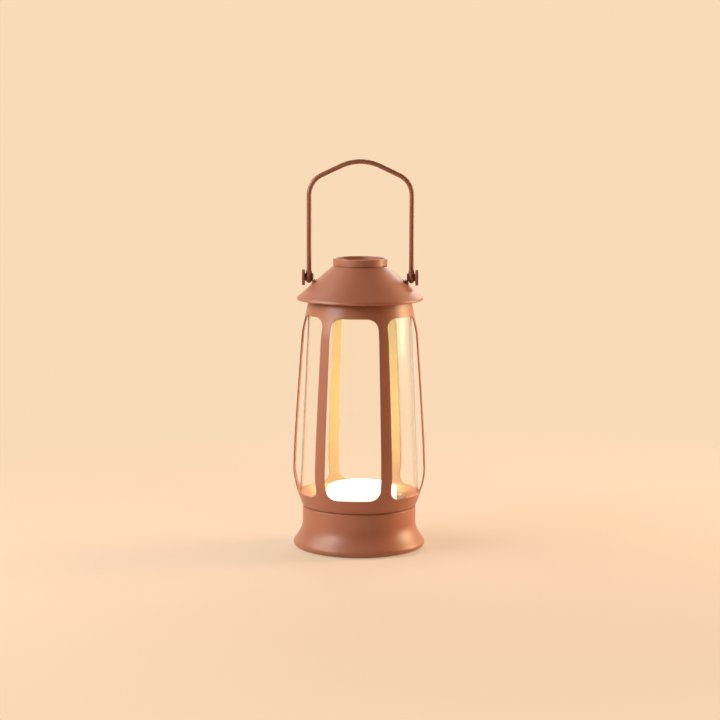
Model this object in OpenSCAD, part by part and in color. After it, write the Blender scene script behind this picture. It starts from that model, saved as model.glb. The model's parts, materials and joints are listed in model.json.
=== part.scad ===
// Rechargeable lantern table lamp with a barrel cage, a conical roof and a bail handle.
// Units are millimetres. The origin is the centre of the foot ring, +Z is up,
// +X runs along the handle's pivot axis and -Y is the front.

/* [Base] */
// Largest radius of the flared base
base_r = 55.4; // [50:0.1:62]
// How far the flare stands out past the straight neck above it
flare_out = 7.65; // [6.5:0.05:9.5]
// Height of the base shell's top edge above the table
base_h = 35.5; // [34:0.1:45]
// Gap between the base shell's lower edge and the table
base_lift = 1.0; // [0.6:0.1:1.2]
// Height above the table where the flare ends and the straight neck begins
flare_h = 23; // [19:0.5:23.5]
// Rounding of the base shell's lower edge
base_edge = 3.5; // [2.5:0.1:4.5]
// Sheet thickness of the base shell
base_wall = 1.6; // [1.2:0.1:2]
// Width of the lip that is turned in under the base shell
base_lip = 5.1; // [4:0.1:6.5]
// Thickness of the bottom plate
plate_t = 1.5; // [1:0.1:2.5]
// Thickness of the soft foot ring
foot_t = 1.2; // [0.8:0.1:2]
// Width of the soft foot ring
foot_w = 4; // [3:0.1:4.4]

/* [Cage] */
// Height of the dark groove between base and cage, filled by the deck plate
seam_h = 1.2; // [1:0.1:2]
// Depth of that groove
seam_depth = 1.0; // [0.5:0.1:1.5]
// How far the cage's lower end stands out past the neck
cage_over = 0.1; // [0:0.05:1]
// How far the belly, the widest place of the cage, stands out past the base
belly_over = 0.45; // [-1:0.05:2]
// Height of the belly above the cage's lower end
belly_h = 30.3; // [27:0.1:36]
// Outer radius at the shoulder
shoulder_r = 48.9; // [47.5:0.1:51]
// Height of the shoulder above the cage's lower end
shoulder_h = 143.3; // [138:0.1:150]
// Outer radius at the cage's upper end, under the roof
cage_top_r = 42.7; // [40.5:0.1:43.5]
// Whole height of the cage
cage_h = 175.5; // [170:0.5:185]
// Sheet thickness of the cage
cage_wall = 1.2; // [1:0.1:1.6]
// Number of bars, and of windows
bars = 6; // [5:1:7]
// Angle that each bar takes up
bar_angle = 10.5; // [7:0.5:12]
// Turn of the cage against the handle
cage_turn = -6; // [-12:1:12]
// Height of the windows' lower edges above the cage's lower end
window_low = 11.1; // [10:0.1:13]
// Height of a window
window_h = 150; // [140:0.5:152]
// Rounding of the windows' corners
window_corner = 9.5; // [4:0.5:12]
// How far the lower flanges reach in past the standoffs
flange_land = 0.45; // [0.3:0.05:2]
// Width of the turned-in flange at the cage's upper end
upper_flange_w = 10.7; // [9.5:0.1:11]

/* [Clear chimney] */
// Gap between the chimney's edges and the inside of the cage
clear_gap = 0.3; // [0.2:0.1:1]
// How far its upper edge reaches past the windows
clear_lap = 3.9; // [2:0.1:5]
// Wall of the clear chimney
clear_wall = 1; // [0.6:0.1:1.6]

/* [Roof] */
// Radius of the roof's rolled rim
roof_r = 52.8; // [50:0.1:56]
// Slope of the roof in degrees
roof_slope = 41.3; // [39.5:0.1:42.5]
// How far the rim hangs below the cage's upper end
roof_drop = 2.36; // [1:0.02:4]
// Radius of the bend from the cone into the rim
rim_bend = 2.5; // [2:0.1:3.5]
// Sheet thickness of the roof
roof_wall = 1.2; // [1:0.1:1.5]
// Width of the small flat round the collar's foot
collar_land = 0.2; // [0.1:0.05:2]
// Width of the three brackets that carry the roof
bracket_w = 10; // [8:0.5:14]
// Thickness of the three brackets
bracket_t = 1.5; // [1:0.1:2]

/* [Collar] */
// Outer radius of the open collar
collar_r = 22.75; // [22:0.05:23.5]
// Wall of the collar
collar_wall = 1.95; // [1.6:0.05:2.4]
// Height of the collar above the roof
collar_h = 6.7; // [5:0.1:12]
// Radial clearance of the collar in the roof's hole
collar_gap = 0.15; // [0.1:0.05:0.3]

/* [Handle] */
// Distance from the axis to the middle of each leg
handle_x = 42.8; // [42.2:0.1:45]
// Radius of the handle's wire
wire_r = 2; // [1.5:0.1:2.1]
// Height of the pivot above the roof's surface, under the leg
pivot_lift = 8; // [7.4:0.1:10]
// Height of the crown's centreline above the pivot
handle_rise = 96.4; // [80:0.1:110]
// Centreline radius of the two shoulder bends
handle_bend = 18.5; // [14:0.5:21]
// Slope of the straights between shoulder and crown, in degrees
handle_slope = 25.2; // [15:0.1:32]
// Centreline radius of the crown
crown_r = 38; // [28:0.5:44]
// Radius of the rounded eye at each leg's end
eye_r = 5; // [4.5:0.1:5.6]
// Width of the eye along the pivot
eye_w = 4.2; // [4.2:0.1:5]
// How much the eye's edges are rounded down
eye_crown = 1.2; // [0.5:0.1:1.5]

/* [Pivots] */
// Radius of the pivot pin's shank
pin_r = 1.5; // [1.2:0.1:1.8]
// Radius of the round head outside the handle
head_r = 6.85; // [5.5:0.05:7.5]
// Thickness of that head
head_t = 2.4; // [1.6:0.1:3]
// Radial clearance of the eye on the pin
run_gap = 0.05; // [0.03:0.01:0.08]
// Thickness of the washer between ear and eye
inner_washer_t = 0.4; // [0.3:0.1:0.8]
// Thickness of the spacer between eye and head
outer_washer_t = 1.2; // [0.6:0.1:1.6]
// Radius of the washers and spacers
washer_r = 3.2; // [2.8:0.1:3.6]
// Sheet thickness of the ears
ear_t = 1.2; // [1:0.1:1.6]
// Radius of an ear's round top
ear_r = 3.5; // [3.2:0.1:4]
// Thickness of an ear's foot plate
ear_foot_t = 0.8; // [0.6:0.1:1.2]
// Length of an ear's foot plate along the roof
ear_foot = 5; // [4.6:0.1:7]
// Margin of the foot plate beside its rivets' heads
ear_foot_edge = 0.6; // [0.4:0.1:1.2]
// Radius of a rivet's shank
rivet_r = 1.1; // [0.8:0.1:1.3]
// Radius of a rivet's flat head
rivet_head_r = 1.7; // [1.5:0.1:1.8]
// Thickness of a rivet's flat head
rivet_head_t = 0.5; // [0.4:0.1:0.8]

/* [Light] */
// Radius of the opal diffuser
light_r = 29.5; // [27:0.1:31]
// Height of the diffuser above the deck plate
light_h = 16.1; // [12:0.1:20]
// Rounding of the diffuser's upper edge
light_edge = 4; // [3:0.5:6]
// Wall of the diffuser
light_wall = 2; // [1.5:0.1:2.5]
// Sideways place of the light on the deck plate
light_x = 2; // [-3:0.5:3]
// Radius of the board that carries the light-emitting chips
led_board_r = 20; // [17:0.5:20.5]
// Thickness of that board
led_board_t = 1.6; // [1:0.1:2]
// Radius of the circle of chips
led_ring_r = 13.5; // [12:0.5:15]
// Number of chips
led_count = 9; // [6:1:10]
// Radius of the circle of the diffuser's screws
light_screw_ring = 24.3; // [24.1:0.1:24.4]

/* [Power] */
// Radius of the battery cell
cell_r = 9.1; // [8.5:0.1:9.3]
// Length of the battery cell
cell_l = 65; // [60:0.5:66]
// Place of the cell's axis, front to back
cell_y = -7; // [-9:0.5:-4]
// Thickness of the tray's floor
tray_t = 2; // [1.5:0.1:2.5]
// Height of the control board's underside above the table
board_z = 25; // [24.9:0.1:25.6]
// Thickness of the control board
board_t = 1.6; // [1:0.1:1.7]
// Sideways distance of socket and button from the middle
port_x = 10; // [9:0.5:11]
// Width of the charging socket
socket_w = 8.94; // [8.9:0.02:9.2]
// Height of the charging socket
socket_h = 3.26; // [3:0.02:3.4]
// Depth of the charging socket
socket_d = 7.35; // [6.5:0.05:8]
// Radius of the power button
button_r = 4; // [3.2:0.1:4.2]
// How far the button stands out of the base
button_out = 0.9; // [0.85:0.05:1.4]
// Travel of the button
button_travel = 0.8; // [0.4:0.05:0.8]
// Clearance round the button
button_gap = 0.3; // [0.2:0.05:0.4]
// Radius of the charging light's window
glow_r = 1; // [0.8:0.1:1.4]

/* [Fasteners] */
// Radius of the metric screws' shanks
screw_r = 1.5; // [1.25:0.05:1.6]
// Radius of their heads
screw_head_r = 2.7; // [2.4:0.1:2.9]
// Height of their heads
screw_head_h = 2; // [1.6:0.1:2.4]
// Radial clearance of a screw in a plain hole
hole_gap = 0.2; // [0.1:0.05:0.4]
// Radial clearance of a screw in its thread
thread_gap = 0.03; // [0.02:0.01:0.06]
// Least gap between the standoffs and the inside of the neck
post_room = 1; // [0.8:0.1:1.2]
// Distance across the flats of standoffs and nuts
hex_flats = 5.5; // [5:0.1:5.6]
// Height of the hexagon nuts
nut_h = 2.4; // [2:0.1:3]
// Radius of the small screws on boards and tray
small_r = 1; // [0.8:0.05:1.1]
// Radius of the small screws' heads
small_head_r = 1.9; // [1.6:0.1:2]

/* [Wiring] */
// Radius of the insulated wires
lead_r = 0.7; // [0.5:0.05:0.8]
// Radius of the hole for the light's wires
lead_hole_r = 3.2; // [3:0.1:3.6]

/* [Hidden] */

// Colours
clay = [0.66, 0.40, 0.30];
clay_dark = [0.50, 0.28, 0.20];
opal = [1.0, 0.97, 0.90];
steel = [0.70, 0.70, 0.72];
zinc = [0.78, 0.76, 0.70];

// Fineness of round surfaces
round_fn = 96;
small_fn = 32;

// Small steps that are the same everywhere
joint_gap = 0.3;
seat_gap = 0.05;
over = 1;
edge_round = 0.6;
// A ball this much thicker than the wire joins two stretches of it
knuckle = 0.02;
arc_steps = 6;
curve_steps = 9;
// Length of screw that bites into a post, boss or standoff, and its head's height
bite = 6;
small_head_h = 1.3;

// Radii that follow the base
neck_r = base_r - flare_out;
cage_foot_r = neck_r + cage_over;
belly_r = base_r + belly_over;
upper_flange_r = cage_top_r - upper_flange_w;

// Heights of the stack
flange_z = base_h - base_wall;
deck_top = base_h + seam_h;
cage_z = deck_top;
cage_top = cage_z + cage_h;
rim_z = cage_top - roof_drop;
plate_z = foot_t;
plate_top = plate_z + plate_t;
open_r = base_r - base_lip;
neck_in = neck_r - base_wall;

// Hexagon's corner radius from its flats
hex_r = hex_flats / 2 / cos(30);

// The standoffs stand as far out as the neck and the foot ring let them
foot_out = open_r - joint_gap - 1;
foot_in = foot_out - foot_w;
post_ring = min(neck_in - hex_r - post_room, foot_in - screw_head_r - joint_gap);
lower_flange_r = post_ring - hex_r - flange_land;

// Window geometry
window_half = 180 / bars - bar_angle / 2;
window_z0 = cage_z + window_low;
window_z1 = window_z0 + window_h;
cut_from = cage_top_r - 4;
cut_to = belly_r + 14;

// Roof line: the cone starts where the rim's bend turns into the slope
hem_t = 2 * roof_wall;
hem_z = rim_z + roof_wall;
bend_r = roof_r - rim_bend;
bend_z = hem_z - roof_wall / 4;
cone_r0 = bend_r + rim_bend * sin(roof_slope);
cone_z0 = bend_z + rim_bend * cos(roof_slope);
roof_flat_r = collar_r + collar_land;
roof_flat_in = roof_flat_r - roof_wall * tan(roof_slope / 2);
function cone_z(r) = cone_z0 + (cone_r0 - r) * tan(roof_slope);
under_cone = roof_wall / cos(roof_slope);
roof_top = cone_z(roof_flat_r);
collar_hole_r = collar_r - 1;
collar_in = collar_r - collar_wall;

// Handle places
pivot_z = cone_z(handle_x) + pivot_lift;
ear_out = handle_x - eye_w / 2 - run_gap - inner_washer_t;
ear_in = ear_out - ear_t;
spacer_in = handle_x + eye_w / 2 + run_gap;
head_in = spacer_in + outer_washer_t;
foot_end_r = norm([ear_out, ear_r]);
foot_start_r = foot_end_r - ear_foot * cos(roof_slope);
foot_mid_r = (foot_start_r + foot_end_r) / 2;
rivet_y = ear_r + rivet_head_r + joint_gap;
rivet_angle = asin(rivet_y / foot_mid_r);
foot_half_w = rivet_y + rivet_head_r + ear_foot_edge;
rivet_hole_r = rivet_r + 2 * seat_gap;

// Places in the base
post_angles = [0, 120, 240];
bracket_angles = [0, 120, 240];
bracket_in = upper_flange_r + 1;
bracket_out = upper_flange_r + 8;
bracket_screw = (bracket_in + bracket_t + bracket_out) / 2;
tray_r = post_ring - hex_r - 1.5 * joint_gap;
tray_top = plate_top + tray_t;
cell_z = tray_top + 0.5 + cell_r;
cradle_w = 3;
strip_t = 0.5;
strip_x = cell_l / 2 + 0.45;
strip_top = cell_z + cell_r + joint_gap;
board_top = board_z + board_t;
board_half = 16;
port_z = board_top + socket_h / 2;
wall_at_port = sqrt(neck_r * neck_r - port_x * port_x);
socket_mouth = wall_at_port - 1.7;
button_flange_t = 1;
button_flange_r = button_r + 0.8;
flange_edge = port_x + button_flange_r;
button_flange_y = sqrt(neck_in * neck_in - flange_edge * flange_edge) - 0.4;
button_back = button_flange_y - button_flange_t;
board_rear = button_back - button_travel - joint_gap;
board_d = 22.4;
board_front = board_rear - board_d;
board_post_x = board_half - 3;
board_post_r = 2.2;
board_posts_y = [board_front + 2.6, board_rear - 9.8];
chip_row = 5;
coil = [6, 6, 3];
charger = [5, 4, 1.2];
controller = [4, 4, 1];
plug = [6, 3.6, 2.4];
plug_gap = 0.6;
plug_top = board_top + plug.z;
grommet_low = base_h - 1;
plunger_r = 1.6;
switch_face = button_back - button_travel - 0.7;
switch_d = 4;
switch_w = 6;
switch_h = 3.8;
light_screw_turn = 30;
led_screw_r = led_board_r - 2.6;
tray_screw_x = 24;
tray_screw_y = 14;

// Cubic curve through four control points
function curve(a, b, c, d, n) = [for (i = [0 : n])
    let (t = i / n, u = 1 - t) u * u * u * a + 3 * u * u * t * b + 3 * u * t * t * c + t * t * t * d];

// Points of an arc about a centre
function arc(c, r, from, to, n) = [for (i = [0 : n])
    let (a = from + (to - from) * i / n) [c.x + r * cos(a), c.y + r * sin(a)]];

// A profile moved inwards by d along its own normals, for a profile that runs upwards
function inward(p, d) = [for (i = [0 : len(p) - 1])
    let (t = p[min(i + 1, len(p) - 1)] - p[max(i - 1, 0)]) p[i] + d * [-t.y, t.x] / norm(t)];

function reversed(p) = [for (i = [len(p) - 1 : -1 : 0]) p[i]];
function rest(p) = [for (i = [1 : len(p) - 1]) p[i]];

// The points of a profile between two heights, with their radii multiplied by share
function between(p, z0, z1, share = 1) = [for (q = p) if (q.y > z0 && q.y < z1) [share * q.x, q.y]];

// Radius of an upward profile at a height
function at_height(p, z) = [for (i = [1 : len(p) - 1]) if (p[i - 1].y <= z && p[i].y > z)
    p[i - 1].x + (p[i].x - p[i - 1].x) * (z - p[i - 1].y) / (p[i].y - p[i - 1].y)][0];

// Outer profile of the base: rounded lower edge, concave flare, straight neck
edge_c = [base_r - base_edge, base_lift + base_edge];
flare_from = 34;
flare_start = edge_c + base_edge * [cos(flare_from), sin(flare_from)];
base_curve = concat(
    arc(edge_c, base_edge, -90, flare_from, arc_steps),
    rest(curve(flare_start, flare_start + 5 * [-sin(flare_from), cos(flare_from)],
        [neck_r, flare_h - 7.5], [neck_r, flare_h], curve_steps)));

// Outer profile of the cage: lower curl, long taper, shoulder and upper band
cage_foot = [cage_foot_r, cage_z];
cage_belly = [belly_r, cage_z + belly_h];
cage_shoulder = [shoulder_r, cage_z + shoulder_h];
cage_end = [cage_top_r, cage_top];
taper_lean = 0.075;
band_start = cage_end + (cage_shoulder - cage_end) * 0.55;
cage_curve = concat(
    curve(cage_foot, cage_foot + [3.4, 8], cage_belly - [0, 10], cage_belly, arc_steps),
    rest(curve(cage_belly, cage_belly + [0, 18], cage_shoulder + [taper_lean * 40, -40],
        cage_shoulder, arc_steps)),
    rest(curve(cage_shoulder, cage_shoulder + [-taper_lean * 4.5, 4.5],
        band_start + [1.1, -4.6], band_start, arc_steps)),
    [cage_end]);
cage_inside = inward(cage_curve, cage_wall);
cage_inner = between(cage_inside, cage_z + cage_wall, cage_top - cage_wall);

// Straight wire from one point to the next, with round corners
module wire(points, r) {
    for (i = [1 : len(points) - 1]) {
        d = points[i] - points[i - 1];
        translate(points[i - 1])
            rotate([0, acos(d.z / norm(d)), atan2(d.y, d.x)])
                cylinder(r = r, h = norm(d), $fn = small_fn);
        if (i < len(points) - 1)
            translate(points[i])
                sphere(r = r + knuckle, $fn = small_fn);
    }
}

// Upright screw: its head below z = 0 and its shank above
module screw_up(r, h, head_r, head_h) {
    translate([0, 0, -head_h])
        cylinder(r = head_r, h = head_h, $fn = small_fn);
    cylinder(r = r, h = h, $fn = small_fn);
}

// Copies at a radius for each angle, counted from the front
module on_ring(ring, angles) {
    for (a = angles)
        rotate([0, 0, a])
            translate([0, -ring, 0])
                children();
}

module base_shell() {
    fillet = arc([neck_r - edge_round, base_h - edge_round], edge_round, 0, 90, 3);
    inner = between(inward(base_curve, base_wall), base_lift + base_wall + 0.4, flange_z);
    color(clay)
        difference() {
            rotate_extrude($fn = round_fn)
                polygon(concat(
                    [[open_r, base_lift]], base_curve, fillet,
                    [[lower_flange_r, base_h], [lower_flange_r, flange_z], [neck_in, flange_z]],
                    reversed(inner),
                    [[inner[0].x - 1, base_lift + base_wall], [open_r, base_lift + base_wall]]));
            on_ring(post_ring, post_angles)
                translate([0, 0, flange_z - over])
                    cylinder(r = screw_r + hole_gap, h = base_wall + 2 * over, $fn = small_fn);
            socket_slot();
            translate([-port_x, 0, port_z])
                rotate([-90, 0, 0])
                    cylinder(r = button_r + button_gap, h = base_r, $fn = small_fn);
            translate([0, 0, port_z])
                rotate([-90, 0, 0])
                    cylinder(r = glow_r + hole_gap, h = base_r, $fn = small_fn);
        }
}

// Slot with round ends for the charging plug
module socket_slot() {
    slot_r = socket_h / 2 + joint_gap;
    slot_half = (socket_w - socket_h) / 2;
    for (side = [-1, 1])
        translate([port_x + side * slot_half, 0, port_z])
            rotate([-90, 0, 0])
                cylinder(r = slot_r, h = base_r, $fn = small_fn);
    translate([port_x - slot_half, 0, port_z - slot_r])
        cube([2 * slot_half, base_r, 2 * slot_r]);
}

module bottom_plate() {
    color(clay_dark)
        difference() {
            translate([0, 0, plate_z])
                cylinder(r = open_r - joint_gap, h = plate_t, $fn = round_fn);
            on_ring(post_ring, post_angles)
                cylinder(r = screw_r + hole_gap, h = plate_top + over, $fn = small_fn);
            for (side = [-1, 1])
                translate([side * tray_screw_x, tray_screw_y, 0])
                    cylinder(r = small_r + thread_gap, h = plate_top + over, $fn = small_fn);
        }
}

module foot_ring() {
    color([0.25, 0.22, 0.20])
        difference() {
            cylinder(r = foot_out, h = foot_t, $fn = round_fn);
            translate([0, 0, -over])
                cylinder(r = foot_in, h = foot_t + 2 * over, $fn = round_fn);
        }
}

module bottom_screws() {
    color(steel)
        on_ring(post_ring, post_angles)
            translate([0, 0, plate_z])
                screw_up(screw_r, plate_t + bite, screw_head_r, foot_t - joint_gap);
}

// Hexagon posts that carry the bottom plate and clamp base, deck and cage together
module standoffs() {
    color(zinc)
        on_ring(post_ring, post_angles)
            difference() {
                union() {
                    translate([0, 0, plate_top])
                        cylinder(r = hex_r, h = flange_z - plate_top, $fn = 6);
                    translate([0, 0, flange_z - over])
                        cylinder(r = screw_r, h = cage_z + cage_wall + nut_h + over - flange_z + 0.5,
                            $fn = small_fn);
                }
                translate([0, 0, plate_top - over])
                    cylinder(r = screw_r + thread_gap, h = bite + 2 * over, $fn = small_fn);
            }
}

module deck_plate() {
    color(clay_dark)
        difference() {
            translate([0, 0, base_h])
                cylinder(r = neck_r - seam_depth, h = seam_h, $fn = round_fn);
            translate([0, 0, base_h - over]) {
                on_ring(post_ring, post_angles)
                    cylinder(r = screw_r + hole_gap, h = seam_h + 2 * over, $fn = small_fn);
                translate([light_x, 0, 0]) {
                    cylinder(r = lead_hole_r + 1, h = seam_h + 2 * over, $fn = small_fn);
                    on_ring(light_screw_ring, post_angles + [for (a = post_angles) light_screw_turn])
                        cylinder(r = small_r + hole_gap, h = seam_h + 2 * over, $fn = small_fn);
                    for (side = [-1, 1])
                        translate([side * led_screw_r, 0, 0])
                            cylinder(r = small_r + thread_gap, h = seam_h + 2 * over, $fn = small_fn);
                }
            }
        }
}

// One window with rounded corners, as wide everywhere as the bars leave it.
// Its sides turn a little inside of the belly and the shoulder.
module window_cut() {
    rc = window_corner;
    side_shift = 0.7;
    share = sin(window_half);
    low_x = at_height(cage_curve, window_z0 + rc) * share;
    high_x = at_height(cage_curve, window_z1 - rc) * share;
    right = concat(
        arc([low_x - rc, window_z0 + rc], rc, -90, 0, arc_steps),
        [for (z = [cage_belly.y + side_shift, cage_shoulder.y - side_shift])
            [at_height(cage_curve, z) * share, z]],
        arc([high_x - rc, window_z1 - rc], rc, 0, 90, arc_steps));
    translate([0, -cut_from, 0])
        rotate([90, 0, 0])
            linear_extrude(height = cut_to - cut_from)
                polygon(concat(right, [for (p = reversed(right)) [-p.x, p.y]]));
}

module cage() {
    color(clay)
        difference() {
            rotate_extrude($fn = round_fn)
                polygon(concat(
                    [[lower_flange_r, cage_z]], cage_curve,
                    [[upper_flange_r, cage_top], [upper_flange_r, cage_top - cage_wall],
                        [at_height(cage_inside, cage_top - cage_wall), cage_top - cage_wall]],
                    reversed(cage_inner),
                    [[cage_foot_r - cage_wall, cage_z + cage_wall],
                        [lower_flange_r, cage_z + cage_wall]]));
            for (i = [0 : bars - 1])
                rotate([0, 0, cage_turn + i * 360 / bars])
                    window_cut();
            on_ring(post_ring, post_angles)
                translate([0, 0, cage_z - over])
                    cylinder(r = screw_r + hole_gap, h = cage_wall + 2 * over, $fn = small_fn);
            on_ring(bracket_screw, bracket_angles)
                translate([0, 0, cage_top - cage_wall - over])
                    cylinder(r = screw_r + hole_gap, h = cage_wall + 2 * over, $fn = small_fn);
        }
}

module cage_nuts() {
    color(zinc)
        on_ring(post_ring, post_angles)
            translate([0, 0, cage_z + cage_wall])
                difference() {
                    cylinder(r = hex_r, h = nut_h, $fn = 6);
                    translate([0, 0, -over])
                        cylinder(r = screw_r + thread_gap, h = nut_h + 2 * over, $fn = small_fn);
                }
}

// Cone of clear sheet that stands in the cage's narrow end, behind the windows
module clear_chimney() {
    low_z = window_z0 - cage_wall;
    high_z = window_z1 + clear_lap;
    low_r = at_height(cage_inside, low_z) - clear_gap;
    high_r = at_height(cage_inside, high_z) - clear_gap;
    color([0.95, 0.93, 0.88, 0.3])
        rotate_extrude($fn = round_fn)
            polygon([[low_r, low_z], [high_r, high_z],
                [high_r - clear_wall, high_z], [low_r - clear_wall, low_z]]);
}

module light_diffuser() {
    top = deck_top + light_h;
    edge_z = top - light_edge;
    edge_x = light_r - light_edge;
    boss_h = light_h - light_wall - 1;
    boss_r = light_r - light_wall - light_screw_ring + 0.4;
    color(opal)
        translate([light_x, 0, 0]) {
            rotate_extrude($fn = round_fn)
                polygon(concat(
                    [[light_r - light_wall, deck_top], [light_r, deck_top]],
                    arc([edge_x, edge_z], light_edge, 0, 90, arc_steps),
                    [[0, top], [0, top - light_wall]],
                    arc([edge_x, edge_z], light_edge - light_wall, 90, 0, arc_steps)));
            rotate([0, 0, light_screw_turn])
                on_ring(light_screw_ring, post_angles)
                    translate([0, 0, deck_top])
                        difference() {
                            cylinder(r = boss_r, h = boss_h, $fn = small_fn);
                            translate([0, 0, -over])
                                cylinder(r = small_r + thread_gap, h = bite + 2 * over, $fn = small_fn);
                        }
        }
}

module diffuser_screws() {
    color(steel)
        translate([light_x, 0, base_h])
            rotate([0, 0, light_screw_turn])
                on_ring(light_screw_ring, post_angles)
                    screw_up(small_r, seam_h + bite, small_head_r, small_head_h);
}

module led_board() {
    color([0.93, 0.93, 0.90])
        translate([light_x, 0, deck_top])
            difference() {
                cylinder(r = led_board_r, h = led_board_t, $fn = round_fn);
                translate([0, 0, -over])
                    cylinder(r = lead_hole_r, h = led_board_t + 2 * over, $fn = small_fn);
                for (side = [-1, 1])
                    translate([side * led_screw_r, 0, -over])
                        cylinder(r = small_r + hole_gap, h = led_board_t + 2 * over, $fn = small_fn);
            }
}

module led_chips() {
    chip = [3.5, 2.8, 0.7];
    color([1.0, 0.85, 0.35])
        translate([light_x, 0, deck_top + led_board_t])
            for (i = [0 : led_count - 1])
                rotate([0, 0, (i + 0.5) * 360 / led_count])
                    translate([-chip.x / 2, led_ring_r - chip.y / 2, 0])
                        cube(chip);
}

module led_board_screws() {
    color(steel)
        for (side = [-1, 1])
            translate([light_x + side * led_screw_r, 0, deck_top + led_board_t])
                mirror([0, 0, 1])
                    screw_up(small_r, led_board_t + seam_h, small_head_r, small_head_h);
}

// Moulded tray: floor, two cradles and two end walls for the cell, four posts for the board
module battery_tray() {
    wall_t = 1.4;
    wall_w = 12;
    wall_in = strip_x + strip_t / 2 + 0.2;
    tray_half = wall_in + wall_t;
    color([0.16, 0.16, 0.17])
        difference() {
            union() {
                translate([0, 0, plate_top])
                    cylinder(r = tray_r, h = tray_t, $fn = round_fn);
                translate([-tray_half, cell_y - wall_w / 2, plate_top])
                    cube([2 * tray_half, wall_w, tray_t]);
                for (side = [-1, 1]) {
                    translate([side * cell_l / 4 - cradle_w / 2, cell_y - cell_r, tray_top - over])
                        cube([cradle_w, 2 * cell_r, cell_r * 0.8 + over]);
                    translate([side * (wall_in + wall_t / 2) - wall_t / 2, cell_y - wall_w / 2,
                        tray_top - over])
                        cube([wall_t, wall_w, 2 * cell_r + over]);
                }
                for (side = [-1, 1], y = board_posts_y)
                    translate([side * board_post_x, y, tray_top - over])
                        cylinder(r = board_post_r, h = board_z - tray_top + over, $fn = small_fn);
            }
            translate([-cell_l / 2, cell_y, cell_z])
                rotate([0, 90, 0])
                    cylinder(r = cell_r + 0.15, h = cell_l, $fn = round_fn);
            for (side = [-1, 1], y = board_posts_y)
                translate([side * board_post_x, y, board_z - bite])
                    cylinder(r = small_r + thread_gap, h = bite + over, $fn = small_fn);
            for (side = [-1, 1])
                translate([side * tray_screw_x, tray_screw_y, plate_top - over])
                    cylinder(r = small_r + hole_gap, h = tray_t + 2 * over, $fn = small_fn);
        }
}

module tray_screws() {
    color(steel)
        for (side = [-1, 1])
            translate([side * tray_screw_x, tray_screw_y, tray_top])
                mirror([0, 0, 1])
                    screw_up(small_r, tray_t + plate_t - joint_gap, small_head_r, small_head_h);
}

module battery_cell() {
    tip_r = 3;
    color([0.20, 0.38, 0.62])
        translate([-cell_l / 2, cell_y, cell_z])
            rotate([0, 90, 0]) {
                cylinder(r = cell_r, h = cell_l - 1, $fn = round_fn);
                cylinder(r = tip_r, h = cell_l, $fn = small_fn);
            }
}

// Two contact strips, one at each end of the cell
module battery_contacts() {
    strip_w = 8;
    low = cell_z - strip_w / 2;
    color(zinc)
        for (side = [-1, 1])
            translate([side * strip_x - strip_t / 2, cell_y - strip_w / 2, low])
                cube([strip_t, strip_w, strip_top - low]);
}

module control_board() {
    color([0.12, 0.35, 0.22])
        difference() {
            translate([-board_half, board_front, board_z])
                cube([2 * board_half, board_rear - board_front, board_t]);
            for (side = [-1, 1], y = board_posts_y)
                translate([side * board_post_x, y, board_z - over])
                    cylinder(r = small_r + hole_gap, h = board_t + 2 * over, $fn = small_fn);
        }
    // Coil, charging chip, controller and the connector for the light's wires
    color([0.15, 0.15, 0.15]) {
        translate([coil.x / 2, board_front + chip_row, board_top])
            cube(coil);
        translate([-coil.x / 2 - charger.x - 1, board_front + chip_row, board_top])
            cube(charger);
        translate([-controller.x - 1, board_front + coil.y + chip_row, board_top])
            cube(controller);
        translate([light_x - plug.x / 2, board_front + plug_gap, board_top])
            cube(plug);
    }
}

module board_screws() {
    color(steel)
        for (side = [-1, 1], y = board_posts_y)
            translate([side * board_post_x, y, board_top])
                mirror([0, 0, 1])
                    screw_up(small_r, board_t + bite - over, small_head_r, small_head_h);
}

// Stadium shell of the socket, open to the rear, with its contact tongue
module usb_socket() {
    shell_t = 0.3;
    color(steel)
        translate([port_x, socket_mouth - socket_d, port_z])
            difference() {
                stadium(socket_w, socket_h, socket_d);
                translate([0, 1, 0])
                    stadium(socket_w - 2 * shell_t, socket_h - 2 * shell_t, socket_d);
            }
    color([0.1, 0.1, 0.1])
        translate([port_x - 3.3, socket_mouth - socket_d + 0.5, port_z - 0.35])
            cube([6.6, socket_d - 1.3, 0.7]);
}

// Prism along +Y with round sides
module stadium(w, h, d) {
    for (side = [-1, 1])
        translate([side * (w - h) / 2, 0, 0])
            rotate([-90, 0, 0])
                cylinder(r = h / 2, h = d, $fn = small_fn);
    translate([-(w - h) / 2, 0, -h / 2])
        cube([w - h, d, h]);
}

module switch_body() {
    color([0.10, 0.10, 0.11])
        difference() {
            translate([-port_x - switch_w / 2, switch_face - switch_d, board_top])
                cube([switch_w, switch_d, switch_h]);
            translate([-port_x, switch_face - switch_d + 1.2, port_z])
                rotate([-90, 0, 0])
                    cylinder(r = plunger_r + run_gap, h = switch_d, $fn = small_fn);
        }
}

module switch_plunger() {
    length = button_back - switch_face + button_travel + 1;
    color([0.75, 0.72, 0.65])
        translate([-port_x, button_back - length, port_z])
            rotate([-90, 0, 0])
                cylinder(r = plunger_r, h = length, $fn = small_fn);
}

// Button with a retaining flange inside; its face follows the round neck
module power_button() {
    color(clay_dark)
        intersection() {
            translate([-port_x, 0, port_z])
                rotate([-90, 0, 0]) {
                    translate([0, 0, button_back])
                        cylinder(r = button_flange_r, h = button_flange_t, $fn = small_fn);
                    translate([0, 0, button_flange_y - over / 2])
                        cylinder(r = button_r, h = base_r - button_flange_y, $fn = small_fn);
                }
            cylinder(r = neck_r + button_out, h = base_h, $fn = round_fn);
        }
}

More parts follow.
